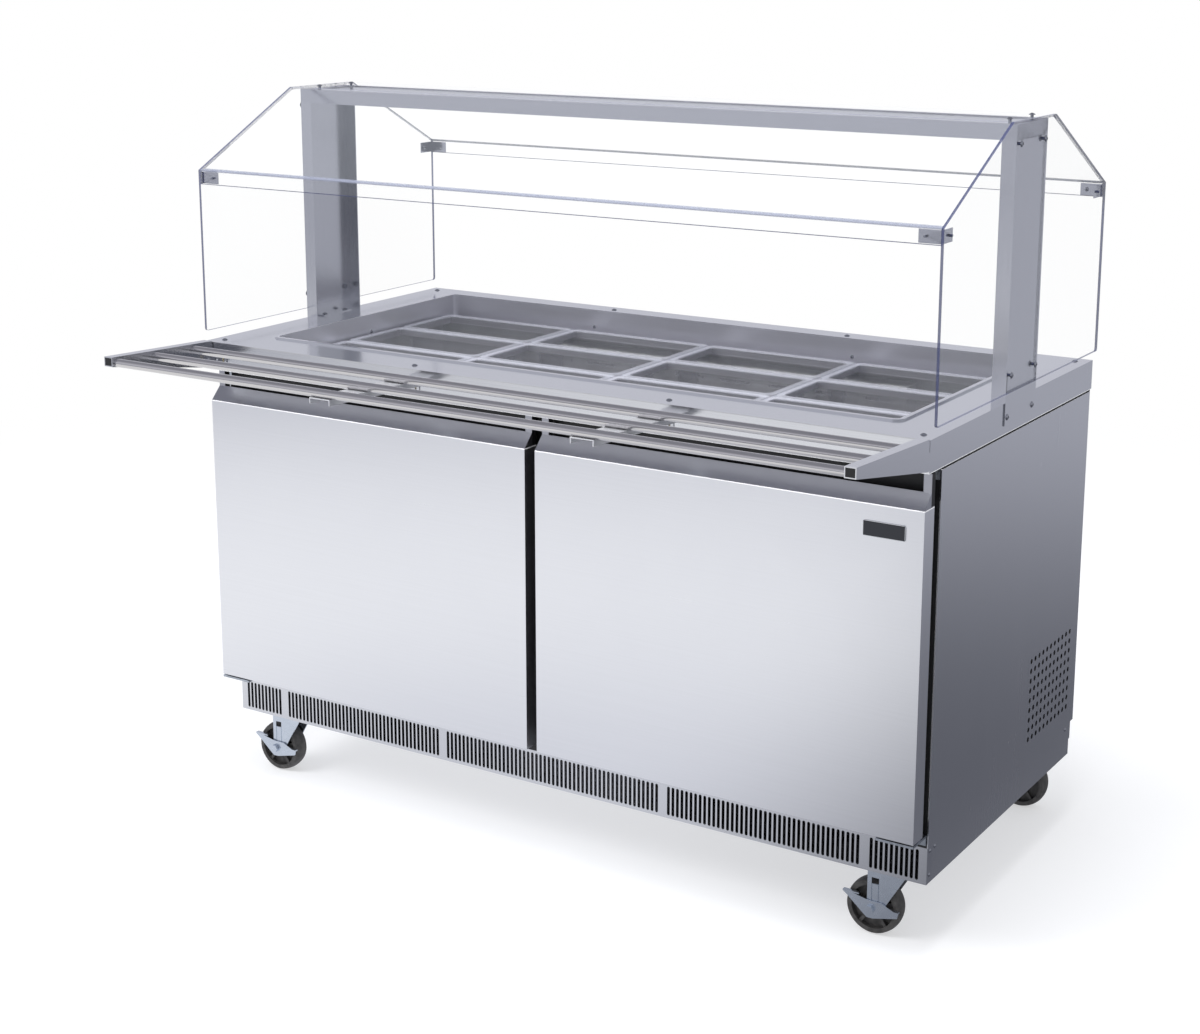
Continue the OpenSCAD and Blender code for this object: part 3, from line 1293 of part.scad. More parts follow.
base_frame();
front_grille();
left_side_panel();
right_side_panel();
back_panel();
door_frame();
insulation();
inner_liner();
wire_shelves();
compressor();
condenser_coil();
fan_shroud();
condenser_fan();
evaporator_coil();
evaporator_cover();
evaporator_fan();
thermostat_dial();
cord_gland();
counter_top();
well_liner();
pan_bars();
for (r = [0:pan_rows - 1], c = [0:pan_cols - 1])
    pan(r, c);
tray_arms();
tray_supports();
tray_tubes();
guard_posts();
guard_beam();
guard_canopy();
guard_end_panels();
guard_brackets();
dome_screws();
left_door_skin();
left_door_core();
left_door_gasket();
right_door_skin();
right_door_core();
right_door_gasket();
hinge_brackets();
castor_plates();
for (k = [0:3]) fork(k, k < 2);
for (k = [0:3]) wheel(k);
brake_lever(0);  // brake_lever_left
brake_lever(1);  // brake_lever_right
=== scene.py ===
# %% [markdown]
# # A refrigerated salad bar
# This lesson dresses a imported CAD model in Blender: a steel cabinet on castors, a cold well with twelve
# clear food pans, a tray slide along the front and a clear guard on two posts. The CAD solids already have
# their real shape, size and place, so most of the work here is finish and light. Small pieces that are too
# fine for the CAD model, such as the sockets in the screw heads and the castor bolts, are made with
# Geometry Nodes.
#
# The first cell reads the model. Each CAD node arrives as one mesh whose object sits at the origin, in
# metres.

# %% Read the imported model
import json
import math

import bmesh
import bpy
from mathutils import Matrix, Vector


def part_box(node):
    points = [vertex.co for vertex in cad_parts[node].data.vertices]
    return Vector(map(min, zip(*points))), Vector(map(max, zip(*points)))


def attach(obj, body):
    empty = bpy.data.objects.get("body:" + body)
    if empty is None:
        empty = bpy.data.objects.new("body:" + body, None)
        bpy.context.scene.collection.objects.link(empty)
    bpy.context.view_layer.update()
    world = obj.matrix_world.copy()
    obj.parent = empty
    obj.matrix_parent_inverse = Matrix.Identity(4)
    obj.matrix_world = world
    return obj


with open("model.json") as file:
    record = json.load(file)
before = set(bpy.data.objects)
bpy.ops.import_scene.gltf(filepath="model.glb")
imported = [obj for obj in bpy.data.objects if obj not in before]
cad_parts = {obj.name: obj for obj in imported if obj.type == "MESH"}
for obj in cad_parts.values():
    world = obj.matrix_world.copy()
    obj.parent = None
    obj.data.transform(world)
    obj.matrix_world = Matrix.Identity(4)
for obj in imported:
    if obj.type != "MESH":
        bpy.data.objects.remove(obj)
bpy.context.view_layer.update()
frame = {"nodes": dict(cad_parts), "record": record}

nodes = frame["nodes"]

# %% [markdown]
# ## The camera first
# The camera stands in front of the bar's right-hand end and looks down a little. Its place, heading and
# lens were solved from the corners of the bar in the photograph. A photographer who keeps a tall product's
# uprights parallel shifts the lens instead of tilting the camera, and a small shift does a part of that
# here. The camera comes before everything else, so that each later piece can be judged in the right view.

# %% Set up the camera
frame_w, frame_h = 1200, 1034
sensor_w = 36
camera_spot = Vector((2.00291, -3.18248, 1.68192))
camera_turn = 32.49
camera_dip = 12.52
focal_px = 2048.62
centre_row = 397

camera_data = bpy.data.cameras.new("photo_camera")
camera_data.sensor_width = sensor_w
camera_data.lens = focal_px / frame_w * sensor_w
camera_data.shift_y = (centre_row - frame_h / 2) / frame_w
camera = bpy.data.objects.new("photo_camera", camera_data)
camera.location = camera_spot
camera.rotation_euler = (math.radians(90 - camera_dip), 0, math.radians(camera_turn))
bpy.context.scene.collection.objects.link(camera)
bpy.context.scene.camera = camera
bpy.context.scene.view_settings.view_transform = "Standard"
print("lens", round(camera_data.lens, 1), "mm, shift", round(camera_data.shift_y, 3))

# %% [markdown]
# ## Writing node trees as sums
# Shader nodes are easy to wire by hand and tedious to wire in code. Two small classes help. A Tap wraps one
# output of a node, so that `0.3 + 0.1 * grain` adds the two Math nodes by itself. A Board wraps a whole
# tree and adds any other node from its type, its settings and the values or links of its sockets.

# %% Helpers for node trees
class Tap:
    """An output of a node, which can be added, multiplied and compared like a number."""

    def __init__(self, board, socket):
        self.board, self.socket = board, socket

    def sum(self, operation, *values):
        return self.board.add("ShaderNodeMath", {"operation": operation}, dict(enumerate(values)))

    def __add__(self, other):
        return self.sum("ADD", self, other)

    def __sub__(self, other):
        return self.sum("SUBTRACT", self, other)

    def __rsub__(self, other):
        return self.sum("SUBTRACT", other, self)

    def __mul__(self, other):
        return self.sum("MULTIPLY", self, other)

    def __pow__(self, other):
        return self.sum("POWER", self, other)

    def __gt__(self, other):
        return self.sum("GREATER_THAN", self, other)

    def __lt__(self, other):
        return self.sum("LESS_THAN", self, other)

    __radd__ = __add__
    __rmul__ = __mul__

    def higher_of(self, other):
        return self.sum("MAXIMUM", self, other)

    def size(self):
        return self.sum("ABSOLUTE", self)


class Board:
    """A node tree, to which add() adds one node and returns the Tap of one of its outputs."""

    def __init__(self, tree):
        self.tree = tree

    def add(self, kind, settings=None, sockets=None, out=0):
        made = self.tree.nodes.new(kind)
        for name, value in (settings or {}).items():
            if name == "stops":
                self.set_stops(made.color_ramp, value)
            else:
                setattr(made, name, value)
        for key, value in (sockets or {}).items():
            if isinstance(value, Tap):
                self.tree.links.new(value.socket, made.inputs[key])
            else:
                made.inputs[key].default_value = value
        return Tap(self, made.outputs[out]) if made.outputs else made

    def set_stops(self, ramp, stops):
        while len(ramp.elements) < len(stops):
            ramp.elements.new(0.5)
        for element, (spot, colour) in zip(ramp.elements, stops):
            element.position, element.color = spot, colour


def paint(red, green, blue):
    """A colour as a screen shows it, 0 to 255, as the linear colour that a socket takes."""
    def linear(level):
        share = level / 255
        return share / 12.92 if share <= 0.04045 else ((share + 0.055) / 1.055) ** 2.4
    return (linear(red), linear(green), linear(blue), 1.0)


def mix_colours(board, share, first, second):
    """The first colour at share 0, the second at share 1."""
    return board.add("ShaderNodeMix", {"data_type": "RGBA"}, {0: share, 6: first, 7: second}, out=2)


print("white paint on a screen is", paint(255, 255, 255))

# %% [markdown]
# ## Floor, backdrop and light
# A product picture of bright sheet metal is mostly a picture of what the metal mirrors. The doors face the
# camera's left, where a white studio floor lies, so they look nearly white. The end panel mirrors the
# darker right and back of the studio, so it is grey and gets darker towards the floor. The sloped grips
# mirror the ceiling, which is grey too. The camera itself only sees a white floor that keeps a soft shadow.
# Light Path tells the rays apart: camera rays see the plain floor, and the rays that leave metal see the
# toned room.

# %% Tones of the room that metal mirrors
white = paint(255, 255, 255)
floor_bright = paint(252, 253, 255)
floor_front_near = paint(222, 224, 231)
floor_front_far = paint(168, 170, 181)
floor_right_near = paint(96, 98, 107)
floor_right_far = paint(174, 176, 186)
wall_left = paint(208, 209, 218)
wall_right = paint(176, 178, 186)
ceiling = paint(150, 151, 161)
lit_tone = paint(205, 206, 210)
right_heading = Vector((0.53, 0.85, 0.0))

# where one tone blends into the next, in metres on the floor
near_blend, far_blend, right_blend, side_blend = (0.6, 1.8), (4.2, 5.4), (1.0, 4.6), (-0.1, 1.0)
glow_blend = (1.8, 4.0)
# and for the walls and ceiling, as shares of a ray's heading
wall_blend, ceiling_blend = (-0.35, 0.15), (0.3, 0.75)


def ease(board, value, blend):
    """0 below the blend's first value, 1 above its second, and a smooth rise between them."""
    return board.add("ShaderNodeMapRange", {"interpolation_type": "SMOOTHSTEP"},
                     {"Value": value, "From Min": blend[0], "From Max": blend[1]})


def split(board, vector, axis):
    return board.add("ShaderNodeSeparateXYZ", None, {0: vector}, out=axis)


def seen_share(board):
    """1 for the rays that come straight from the camera or through clear pieces, else 0."""
    camera_ray = board.add("ShaderNodeLightPath", out="Is Camera Ray")
    through_ray = board.add("ShaderNodeLightPath", out="Is Transmission Ray")
    return camera_ray.higher_of(through_ray)


# %% White floor with a soft shadow
floor_reach = 30
floor_mesh = bpy.data.meshes.new("studio_floor")
corners = [(x, y, 0) for x, y in ((-1, -1), (1, -1), (1, 1), (-1, 1))]
floor_mesh.from_pydata([(x * floor_reach, y * floor_reach, z) for x, y, z in corners], [], [(0, 1, 2, 3)])
floor = bpy.data.objects.new("studio_floor", floor_mesh)
bpy.context.scene.collection.objects.link(floor)

floor_finish = bpy.data.materials.new("white_floor")
floor_finish.use_nodes = True
floor_finish.node_tree.nodes.clear()
board = Board(floor_finish.node_tree)
place = board.add("ShaderNodeTexCoord", out="Object")
reach = board.add("ShaderNodeVectorMath", {"operation": "LENGTH"}, {0: place}, out="Value")
to_right = board.add("ShaderNodeVectorMath", {"operation": "DOT_PRODUCT"},
                     {0: place, 1: right_heading}, out="Value")
front_tone = mix_colours(board, ease(board, reach, far_blend), floor_bright, floor_front_far)
front_tone = mix_colours(board, ease(board, reach, near_blend), floor_front_near, front_tone)
right_tone = mix_colours(board, ease(board, to_right, right_blend), floor_right_near, floor_right_far)
room_tone = mix_colours(board, ease(board, split(board, place, "X"), side_blend), front_tone, right_tone)
far_share = ease(board, reach, glow_blend)
floor_diffuse = board.add("ShaderNodeBsdfDiffuse", None, {"Color": paint(200, 201, 203)})
near_glow = board.add("ShaderNodeEmission", None, {"Color": white, "Strength": 0.5})
floor_near = board.add("ShaderNodeAddShader", None, {0: floor_diffuse, 1: near_glow})
floor_far = board.add("ShaderNodeEmission", None, {"Color": white, "Strength": 1.0})
floor_plain = board.add("ShaderNodeMixShader", None, {0: far_share, 1: floor_near, 2: floor_far})
floor_mirrored = board.add("ShaderNodeEmission", None, {"Color": room_tone, "Strength": 1.0})
glossy_ray = board.add("ShaderNodeLightPath", out="Is Glossy Ray")
floor_shader = board.add("ShaderNodeMixShader", None, {0: glossy_ray, 1: floor_plain, 2: floor_mirrored})
board.add("ShaderNodeOutputMaterial", None, {"Surface": floor_shader})
floor_mesh.materials.append(floor_finish)
print("floor of", 2 * floor_reach, "m")

# %% World and lamps
world = bpy.data.worlds.new("studio")
bpy.context.scene.world = world
world.use_nodes = True
world.node_tree.nodes.clear()
board = Board(world.node_tree)
ray_way = board.add("ShaderNodeTexCoord", out="Generated")
wall_tone = mix_colours(board, ease(board, split(board, ray_way, "X"), wall_blend), wall_left, wall_right)
dome_tone = mix_colours(board, ease(board, split(board, ray_way, "Z"), ceiling_blend), wall_tone, ceiling)
glossy_ray = board.add("ShaderNodeLightPath", out="Is Glossy Ray")
ray_tone = mix_colours(board, glossy_ray, lit_tone, dome_tone)
sky_tone = mix_colours(board, seen_share(board), ray_tone, white)
sky = board.add("ShaderNodeBackground", None, {"Color": sky_tone, "Strength": 1.0})
board.add("ShaderNodeOutputWorld", None, {"Surface": sky})


def soft_lamp(name, spot, aim, width, power):
    """A square soft lamp at a spot, turned to face the aim, that metal doesn't mirror."""
    data = bpy.data.lights.new(name, "AREA")
    data.shape, data.size, data.energy = "SQUARE", width, power
    lamp = bpy.data.objects.new(name, data)
    lamp.location = spot
    lamp.rotation_euler = (Vector(aim) - Vector(spot)).to_track_quat("-Z", "Y").to_euler()
    lamp.visible_glossy = False
    bpy.context.scene.collection.objects.link(lamp)
    return lamp


key_lamp = soft_lamp("key_lamp", (-2.6, -3.4, 4.2), (0, 0, 0.6), 2.6, 150)
top_lamp = soft_lamp("top_lamp", (0.3, -0.7, 3.4), (0, 0.1, 0.87), 1.8, 90)
print("lamps of", key_lamp.data.energy, "and", top_lamp.data.energy, "W")

# %% [markdown]
# ## Brushed stainless steel
# Almost all sheet metal of the bar is satin stainless steel. Brushing leaves fine parallel lines that
# stretch a mirrored highlight across them. The lines could be a bump texture alone, but at this size they
# are finer than a pixel, so noise that is squeezed across the lines mostly changes the roughness a little
# and only hints at relief. A slow, wide noise adds the faint clouds that polished sheets show. Each sheet
# is brushed along its long side.

# %% Brushed steel
AXES = "XYZ"
line_density = 420.0
line_stretch = 3.0
bulge_depth = 0.04


def new_finish(name):
    """A material with an empty tree: returns it with its board and its Object coordinates."""
    finish = bpy.data.materials.new(name)
    finish.use_nodes = True
    finish.node_tree.nodes.clear()
    board = Board(finish.node_tree)
    return finish, board, board.add("ShaderNodeTexCoord", out="Object")


def noise(board, place, scale, detail=2.0):
    return board.add("ShaderNodeTexNoise", None, {"Vector": place, "Scale": scale, "Detail": detail})


def stretched(board, place, scales):
    return board.add("ShaderNodeMapping", None, {"Vector": place, "Scale": scales})


def close_finish(board, sockets):
    shader = board.add("ShaderNodeBsdfPrincipled", None, sockets)
    board.add("ShaderNodeOutputMaterial", None, {"Surface": shader})


def brushed_steel(name, tone, along, roughness, clouds=0.04, bulge_at=None, black_at=None,
                  painted_highlight_at=None, painted_shade_at=None, metal=1.0):
    """Satin sheet steel with brushing lines along one axis. A bulge is the slight pillow of a foamed door.
    Three functions of a place may give the share of black there (black plastic on the door frame, painted
    shade at the arm tips, plain black in the door pockets), of a painted highlight line, and of a face
    darkened as painted shade. A metal share below 1 gives the milky look of a bead-blasted sheet."""
    finish, board, place = new_finish(name)
    scales = [line_stretch if axis == along else line_density for axis in AXES]
    lines = noise(board, stretched(board, place, scales), 1.0)
    cloud = noise(board, place, 2.3)
    worn = noise(board, place, 14.0, 4.0)
    light = tuple(min(1.0, 1.02 * level) for level in tone[:3]) + (1.0,)
    dull = tuple(0.97 * level for level in tone[:3]) + (1.0,)
    rough = roughness + 0.07 * (lines - 0.5) + clouds * (cloud - 0.5) + 0.03 * (worn - 0.5)
    relief = {"Strength": 0.05, "Distance": 0.0004, "Height": lines}
    if bulge_at is not None:
        off = board.add("ShaderNodeVectorMath", {"operation": "SUBTRACT"}, {0: place, 1: bulge_at})
        drop = board.add("ShaderNodeVectorMath", {"operation": "DOT_PRODUCT"}, {0: off, 1: off}, out="Value")
        relief["Normal"] = board.add("ShaderNodeBump", {"invert": True},
                                     {"Distance": bulge_depth, "Height": drop})
    relief = board.add("ShaderNodeBump", None, relief)
    colour, metallic = mix_colours(board, lines, dull, light), metal
    if painted_shade_at is not None:
        # painted shade: the face is coloured a darker grey
        colour = mix_colours(board, painted_shade_at(board, place), colour, paint(180, 181, 188))
    if painted_highlight_at is not None:
        painted_highlight = painted_highlight_at(board, place)
        # painted highlight: a near-white, mostly non-metal band
        colour, metallic = mix_colours(board, painted_highlight, colour, paint(250, 250, 252)), 1 - 0.9 * painted_highlight
    if black_at is not None:
        black_share = black_at(board, place)
        # black share: black plastic on the door frame, painted shade at the arm tips, plain black in the door
        # pockets
        colour, metallic = mix_colours(board, black_share, colour, paint(22, 22, 24)), metallic * (1 - black_share)
        rough = rough + 0.2 * black_share
    close_finish(board, {
        "Base Color": colour, "Metallic": metallic, "Roughness": rough, "Normal": relief})
    return finish


arm_low, arm_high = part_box("tray_arms")
arm_width, arm_tip_height, arm_sheet, tip_shade_depth = 0.020, 0.018, 0.0018, 0.0008


def arm_tip_shade(board, place):
    """The two end arms are open at the tip. Their tip face is black inside the sheet, as painted shade of the
    hollow arm: 1 there, else 0.
    """
    from_side = arm_high.x - split(board, place, "X").size()
    height = split(board, place, "Z")
    at_tip = split(board, place, "Y") < arm_low.y + tip_shade_depth
    across = (from_side > arm_sheet) * (from_side < arm_width - arm_sheet)
    upright = (height < arm_high.z - arm_sheet) * (height > arm_high.z - arm_tip_height + arm_sheet)
    return at_tip * across * upright


skirt_low_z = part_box("counter_top")[0].z
# the width of the painted highlight lines on folds and edges
seam_height, highlight_width = 0.006, 0.0011
grip_height, pocket_sink, pocket_wall = 0.057, 0.002, 0.0253
door_face_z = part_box("right_door_skin")[1].z - grip_height
pocket_low_z = door_face_z + pocket_sink
pocket_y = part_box("right_door_skin")[0].y + pocket_wall
breaker_depth = 0.0025
frame_front_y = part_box("door_frame")[0].y


def door_fold_highlight(board, place):
    """A painted highlight: a thin near-white line along the fold between a door's face and its sloped grip.
    """
    return (split(board, place, "Z") - door_face_z).size() < 0.8 * highlight_width


def grip_painted_shade(board, place):
    """The sloped grip above the fold, coloured darker as painted shade."""
    return split(board, place, "Z") > door_face_z


def frame_breaker(board, place):
    """The front of the door frame is a black plastic strip, against which the doors' gaskets close."""
    return split(board, place, "Y") < frame_front_y + breaker_depth


def pocket_black(board, place):
    """Behind the grip, a door's finger pocket is coloured black."""
    return (split(board, place, "Z") > pocket_low_z) * (split(board, place, "Y") > pocket_y)


def skirt_edge_highlight(board, place):
    """A painted highlight: a thin near-white line along the lowest edge of the worktop's skirt."""
    return split(board, place, "Z") < skirt_low_z + highlight_width


def panel_edge_highlight(board, place):
    """A painted highlight along the upper edge of a side panel, below the dark seam under the worktop's
    skirt.
    """
    return (split(board, place, "Z") - (skirt_low_z - seam_height)).size() < 0.6 * highlight_width


steel_tone = paint(222, 223, 227)
sheet_steel = brushed_steel("sheet_steel", steel_tone, "X", 0.17)
worktop_steel = brushed_steel("worktop_steel", steel_tone, "X", 0.17, painted_highlight_at=skirt_edge_highlight)
upright_steel = brushed_steel("upright_steel", steel_tone, "Z", 0.22)
end_steel = brushed_steel("end_steel", steel_tone, "Z", 0.25)
side_steel = brushed_steel("side_steel", steel_tone, "Z", 0.25, painted_highlight_at=panel_edge_highlight)
frame_steel = brushed_steel("frame_steel", steel_tone, "Z", 0.25, black_at=frame_breaker)
# The well's steel is a lighter tone than the other sheets: painted light in the deep, shaded well.
well_steel_painted_light = brushed_steel("well_steel_painted_light", paint(232, 232, 237), "X", 0.34, metal=0.9)
arm_steel = brushed_steel("arm_steel", steel_tone, "Y", 0.2, black_at=arm_tip_shade)
support_steel = brushed_steel("support_steel", steel_tone, "Y", 0.34, metal=0.7)
tube_steel = brushed_steel("tube_steel", paint(208, 206, 206), "X", 0.13)
door_finishes = {}
for side in ("left", "right"):
    low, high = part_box(side + "_door_skin")
    door_finishes[side + "_door_skin"] = brushed_steel(
        side + "_door_steel", paint(238, 239, 243), "X", 0.3, bulge_at=(low + high) / 2,
        black_at=pocket_black, painted_highlight_at=door_fold_highlight, painted_shade_at=grip_painted_shade)
print("steel finishes ready")

# %% [markdown]
# ## Zinc, galvanised sheet and bright screws
# The castors are pressed from steel and plated with zinc, which is brighter and bluer than stainless steel
# and a little mottled. Hidden frames are made from hot-dip galvanised sheet, whose crystals show as flat
# patches. A Voronoi texture makes such patches. The dome screws are turned and polished, so they get a low
# roughness.

# %% Plated metals
def zinc_plate(name, tone, roughness, grain):
    """Plated steel with a mottled roughness and tone."""
    finish, board, place = new_finish(name)
    mottle = noise(board, place, grain, 4.0)
    dull = tuple(0.86 * level for level in tone[:3]) + (1.0,)
    relief = board.add("ShaderNodeBump", None, {"Strength": 0.08, "Distance": 0.0005, "Height": mottle})
    close_finish(board, {
        "Base Color": mix_colours(board, mottle, dull, tone), "Metallic": 1.0,
        "Roughness": roughness + 0.16 * (mottle - 0.5), "Normal": relief})
    return finish


def galvanised_sheet():
    """Hot-dip zinc with crystal patches."""
    finish, board, place = new_finish("galvanised_sheet")
    crystal = board.add("ShaderNodeTexVoronoi", None, {"Vector": place, "Scale": 70.0}, out="Color")
    patch = board.add("ShaderNodeSeparateColor", None, {0: crystal})
    close_finish(board, {
        "Base Color": mix_colours(board, patch, paint(168, 174, 182), paint(200, 206, 214)),
        "Metallic": 1.0, "Roughness": 0.34 + 0.16 * patch})
    return finish


castor_zinc = zinc_plate("castor_zinc", paint(220, 228, 238), 0.26, 60.0)
screw_metal = zinc_plate("screw_metal", paint(186, 188, 194), 0.2, 300.0)
hidden_sheet = galvanised_sheet()
print("plated finishes ready")

# %% [markdown]
# ## Clear acrylic and clear pans
# The guard is 5 mm acrylic: nearly invisible from the front, with edges that gather light and look dark
# blue. A real refracting sheet would be slow and noisy, so the sheet is a surface with a low Alpha on its
# faces and a high one on its sawn edges. The surface's own normal tells the two apart. The pans are clear
# too, but thinner and moulded: their walls look greyer where they turn away from the eye, which Layer
# Weight gives.

# %% Clear finishes
edge_tone = paint(62, 67, 98)
face_tone = paint(232, 238, 244)


def clear_sheet(name, edge_share_of):
    """Clear sheet whose edges are given by a function of the normal and the place."""
    finish, board, place = new_finish(name)
    normal = board.add("ShaderNodeTexCoord", out="Normal")
    edge = edge_share_of(board, normal, place)
    smear = noise(board, place, 3.0)
    turned = board.add("ShaderNodeLayerWeight", None, {"Blend": 0.25}, out="Facing")
    clear_alpha = 0.018 + 0.14 * turned ** 3.0
    close_finish(board, {
        "Base Color": mix_colours(board, edge, face_tone, edge_tone),
        "Roughness": 0.05 + 0.05 * smear, "IOR": 1.49,
        "Alpha": edge * 0.86 + (1 - edge) * clear_alpha})
    return finish


canopy_low, canopy_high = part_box("guard_canopy")
lip_band = 0.0006
bend_band = 0.0022
canopy_rise, canopy_flat = 0.143, 0.194
shoulder_z = canopy_high.z - canopy_rise
flat_front_y = (canopy_low.y + canopy_high.y - canopy_flat) / 2
pan_rim_height = 0.0035


def canopy_edges(board, normal, place):
    """The canopy's edges are its two ends and the lower rims of its lips. A band along each bend is
    coloured dark as well, as painted shade, because one looks along the sheet there."""
    ends = split(board, normal, "X").size() > 0.7
    rims = split(board, place, "Z") < canopy_low.z + lip_band
    shoulder_shade = (split(board, place, "Z") - shoulder_z).size() < bend_band
    top_bend_shade = ((split(board, place, "Y") - flat_front_y).size() < bend_band) * (
        split(board, place, "Z") > canopy_high.z - lip_band)
    return ends.higher_of(rims).higher_of(0.8 * shoulder_shade).higher_of(0.8 * top_bend_shade)


def panel_edges(board, normal, place):
    """An end panel is flat to the side, so every face that looks elsewhere is an edge."""
    return split(board, normal, "X").size() < 0.7


canopy_clear = clear_sheet("canopy_clear", canopy_edges)
panel_clear = clear_sheet("panel_clear", panel_edges)


def pan_clear():
    """Clear moulded pan: faint faces, and greyer where a wall turns away."""
    finish, board, place = new_finish("pan_clear")
    turned = board.add("ShaderNodeLayerWeight", None, {"Blend": 0.35}, out="Facing")
    rim = split(board, place, "Z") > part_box("pan_front_1")[1].z - pan_rim_height
    haze = noise(board, place, 18.0)
    alpha = 0.08 + 0.28 * turned ** 2.0 + 0.2 * rim
    close_finish(board, {
        "Base Color": mix_colours(board, turned, paint(226, 227, 236), paint(186, 189, 203)),
        "Roughness": 0.06 + 0.08 * haze, "IOR": 1.58, "Alpha": alpha})
    return finish


food_pan_clear = pan_clear()
print("clear finishes ready")

# %% [markdown]
# ## Plastics, rubber and paint
# The other finishes are moulded or painted. Each has the relief that gives it away close up: a fine
# leather-like grain on moulded plastic, orange peel on paint, a dull bloom on rubber, and dust on the tread
# of a wheel.

# %% Moulded and painted finishes
def moulded(name, tone, roughness, grain, relief_depth):
    """Plastic, paint or rubber with a fine grain and an uneven gloss."""
    finish, board, place = new_finish(name)
    texture = noise(board, place, grain, 3.0)
    patches = noise(board, place, 6.0, 3.0)
    relief = board.add("ShaderNodeBump", None,
                       {"Strength": 0.25, "Distance": relief_depth, "Height": texture})
    worn = tuple(0.86 * level for level in tone[:3]) + (1.0,)
    close_finish(board, {
        "Base Color": mix_colours(board, patches, tone, worn),
        "Roughness": roughness + 0.14 * (patches - 0.5), "Normal": relief})
    return finish


liner_paint = moulded("liner_paint", paint(228, 230, 232), 0.34, 500.0, 0.0002)
foam_yellow = moulded("foam_yellow", paint(226, 212, 170), 0.85, 260.0, 0.001)
wire_coating = moulded("wire_coating", paint(232, 234, 234), 0.38, 300.0, 0.0002)
black_enamel = moulded("black_enamel", paint(34, 35, 38), 0.36, 400.0, 0.0002)
black_moulding = moulded("black_moulding", paint(36, 37, 39), 0.55, 900.0, 0.0002)
rubber_and_shadow_black = moulded("rubber_and_shadow_black", paint(30, 30, 32), 0.72, 700.0, 0.0002)


def coil_fins(name):
    """Bare aluminium with the fine lines of packed fins, whose dark bands are painted shade between the fins.
    """
    finish, board, place = new_finish(name)
    fins_and_gap_shade = board.add("ShaderNodeTexWave", {"wave_type": "BANDS", "bands_direction": "DIAGONAL"},
                     {"Vector": place, "Scale": 90.0, "Distortion": 0.4})
    relief = board.add("ShaderNodeBump", None, {"Strength": 0.5, "Distance": 0.001, "Height": fins_and_gap_shade})
    close_finish(board, {
        "Base Color": mix_colours(board, fins_and_gap_shade, paint(120, 122, 124), paint(206, 208, 210)),
        "Metallic": 1.0, "Roughness": 0.3 + 0.2 * fins_and_gap_shade, "Normal": relief})
    return finish


coil_metal = coil_fins("coil_metal")


def inner_panel():
    """A door's inner panel: light moulded plastic, with a black breaker strip round its edge."""
    finish, board, place = new_finish("inner_panel")
    facing = split(board, board.add("ShaderNodeTexCoord", out="Normal"), "Y").size() > 0.7
    texture = noise(board, place, 500.0, 3.0)
    relief = board.add("ShaderNodeBump", None, {"Strength": 0.2, "Distance": 0.0002, "Height": texture})
    close_finish(board, {
        "Base Color": mix_colours(board, facing, paint(38, 38, 41), paint(222, 224, 227)),
        "Roughness": 0.5 - 0.12 * facing, "Normal": relief})
    return finish


door_inner = inner_panel()
print("plastic, paint and rubber ready")

# %% [markdown]
# ## Wheels
# A castor wheel is one black moulding with a glossy hub and a tread that picks up dust. The distance from
# the wheel's own axle tells hub from tread, so the finish is made once for each wheel, with the middle of
# that wheel's box as a plain number.

# %% Glossy black wheels
def wheel_finish(node):
    """Black wheel whose gloss ends at the tread."""
    low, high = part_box(node)
    middle = (low + high) / 2
    radius = (high.z - low.z) / 2
    finish, board, place = new_finish(node + "_black")
    local = board.add("ShaderNodeMapping", None, {"Vector": place, "Location": -middle, "Scale": (1, 0, 1)})
    off_axle = board.add("ShaderNodeVectorMath", {"operation": "LENGTH"}, {0: local}, out="Value")
    tread = ease(board, off_axle, (0.95 * radius, radius))
    dust = noise(board, place, 90.0, 4.0) * tread
    close_finish(board, {
        "Base Color": mix_colours(board, dust, paint(20, 20, 23), paint(92, 90, 88)),
        "Roughness": 0.2 + 0.4 * tread, "Coat Weight": 0.5 * (1 - tread), "Coat Roughness": 0.08})
    return finish


wheel_nodes = [name for name in nodes if name.startswith("wheel_")]
wheel_finishes = {name: wheel_finish(name) for name in wheel_nodes}
print("wheels:", sorted(wheel_finishes))

# %% [markdown]
# ## Giving each node its finish
# The record names a material slot for each node, so one table from slot to finish dresses most nodes. A
# second table names the nodes that need another brushing direction or a finish of their own.

# %% Assign the finishes
slot_finishes = {
    "stainless": sheet_steel, "liner": liner_paint, "foam": foam_yellow, "coated_wire": wire_coating,
    "black_paint": black_enamel, "galvanised": hidden_sheet, "zinc": castor_zinc, "coil": coil_metal,
    "black_plastic": black_moulding, "clear_acrylic": panel_clear, "clear_polycarbonate": food_pan_clear,
    "bright_screw": screw_metal, "black_rubber": rubber_and_shadow_black}
own_finishes = {
    **door_finishes, "base_frame": end_steel,
    "left_side_panel": side_steel, "right_side_panel": side_steel, "back_panel": upright_steel,
    "counter_top": worktop_steel, "door_frame": frame_steel, "well_liner": well_steel_painted_light,
    "pan_bars": well_steel_painted_light, "tray_supports": support_steel,
    "left_door_core": door_inner, "right_door_core": door_inner, "guard_posts": upright_steel,
    "tray_tubes": tube_steel, "tray_arms": arm_steel, "guard_canopy": canopy_clear, **wheel_finishes}


def dress(piece, finish):
    """Puts one finish on every material slot of a piece."""
    piece.data.materials.clear()
    piece.data.materials.append(finish)


for subpart in frame["record"]["subparts"]:
    name = subpart["node"]
    dress(nodes[name], own_finishes.get(name) or slot_finishes[subpart["material_slot"]])

# %% [markdown]
# ## A bare badge plate
# Cabinets of this kind carry a small plate with a polished rim at the top of the right door. Here the plate
# is bare. It could be a bevelled cube, but a pressed plate has round corners and a rim that stands a little
# above its face. So it is drawn as five outlines that are joined with faces, from the foot over the rim to
# the sunk face.

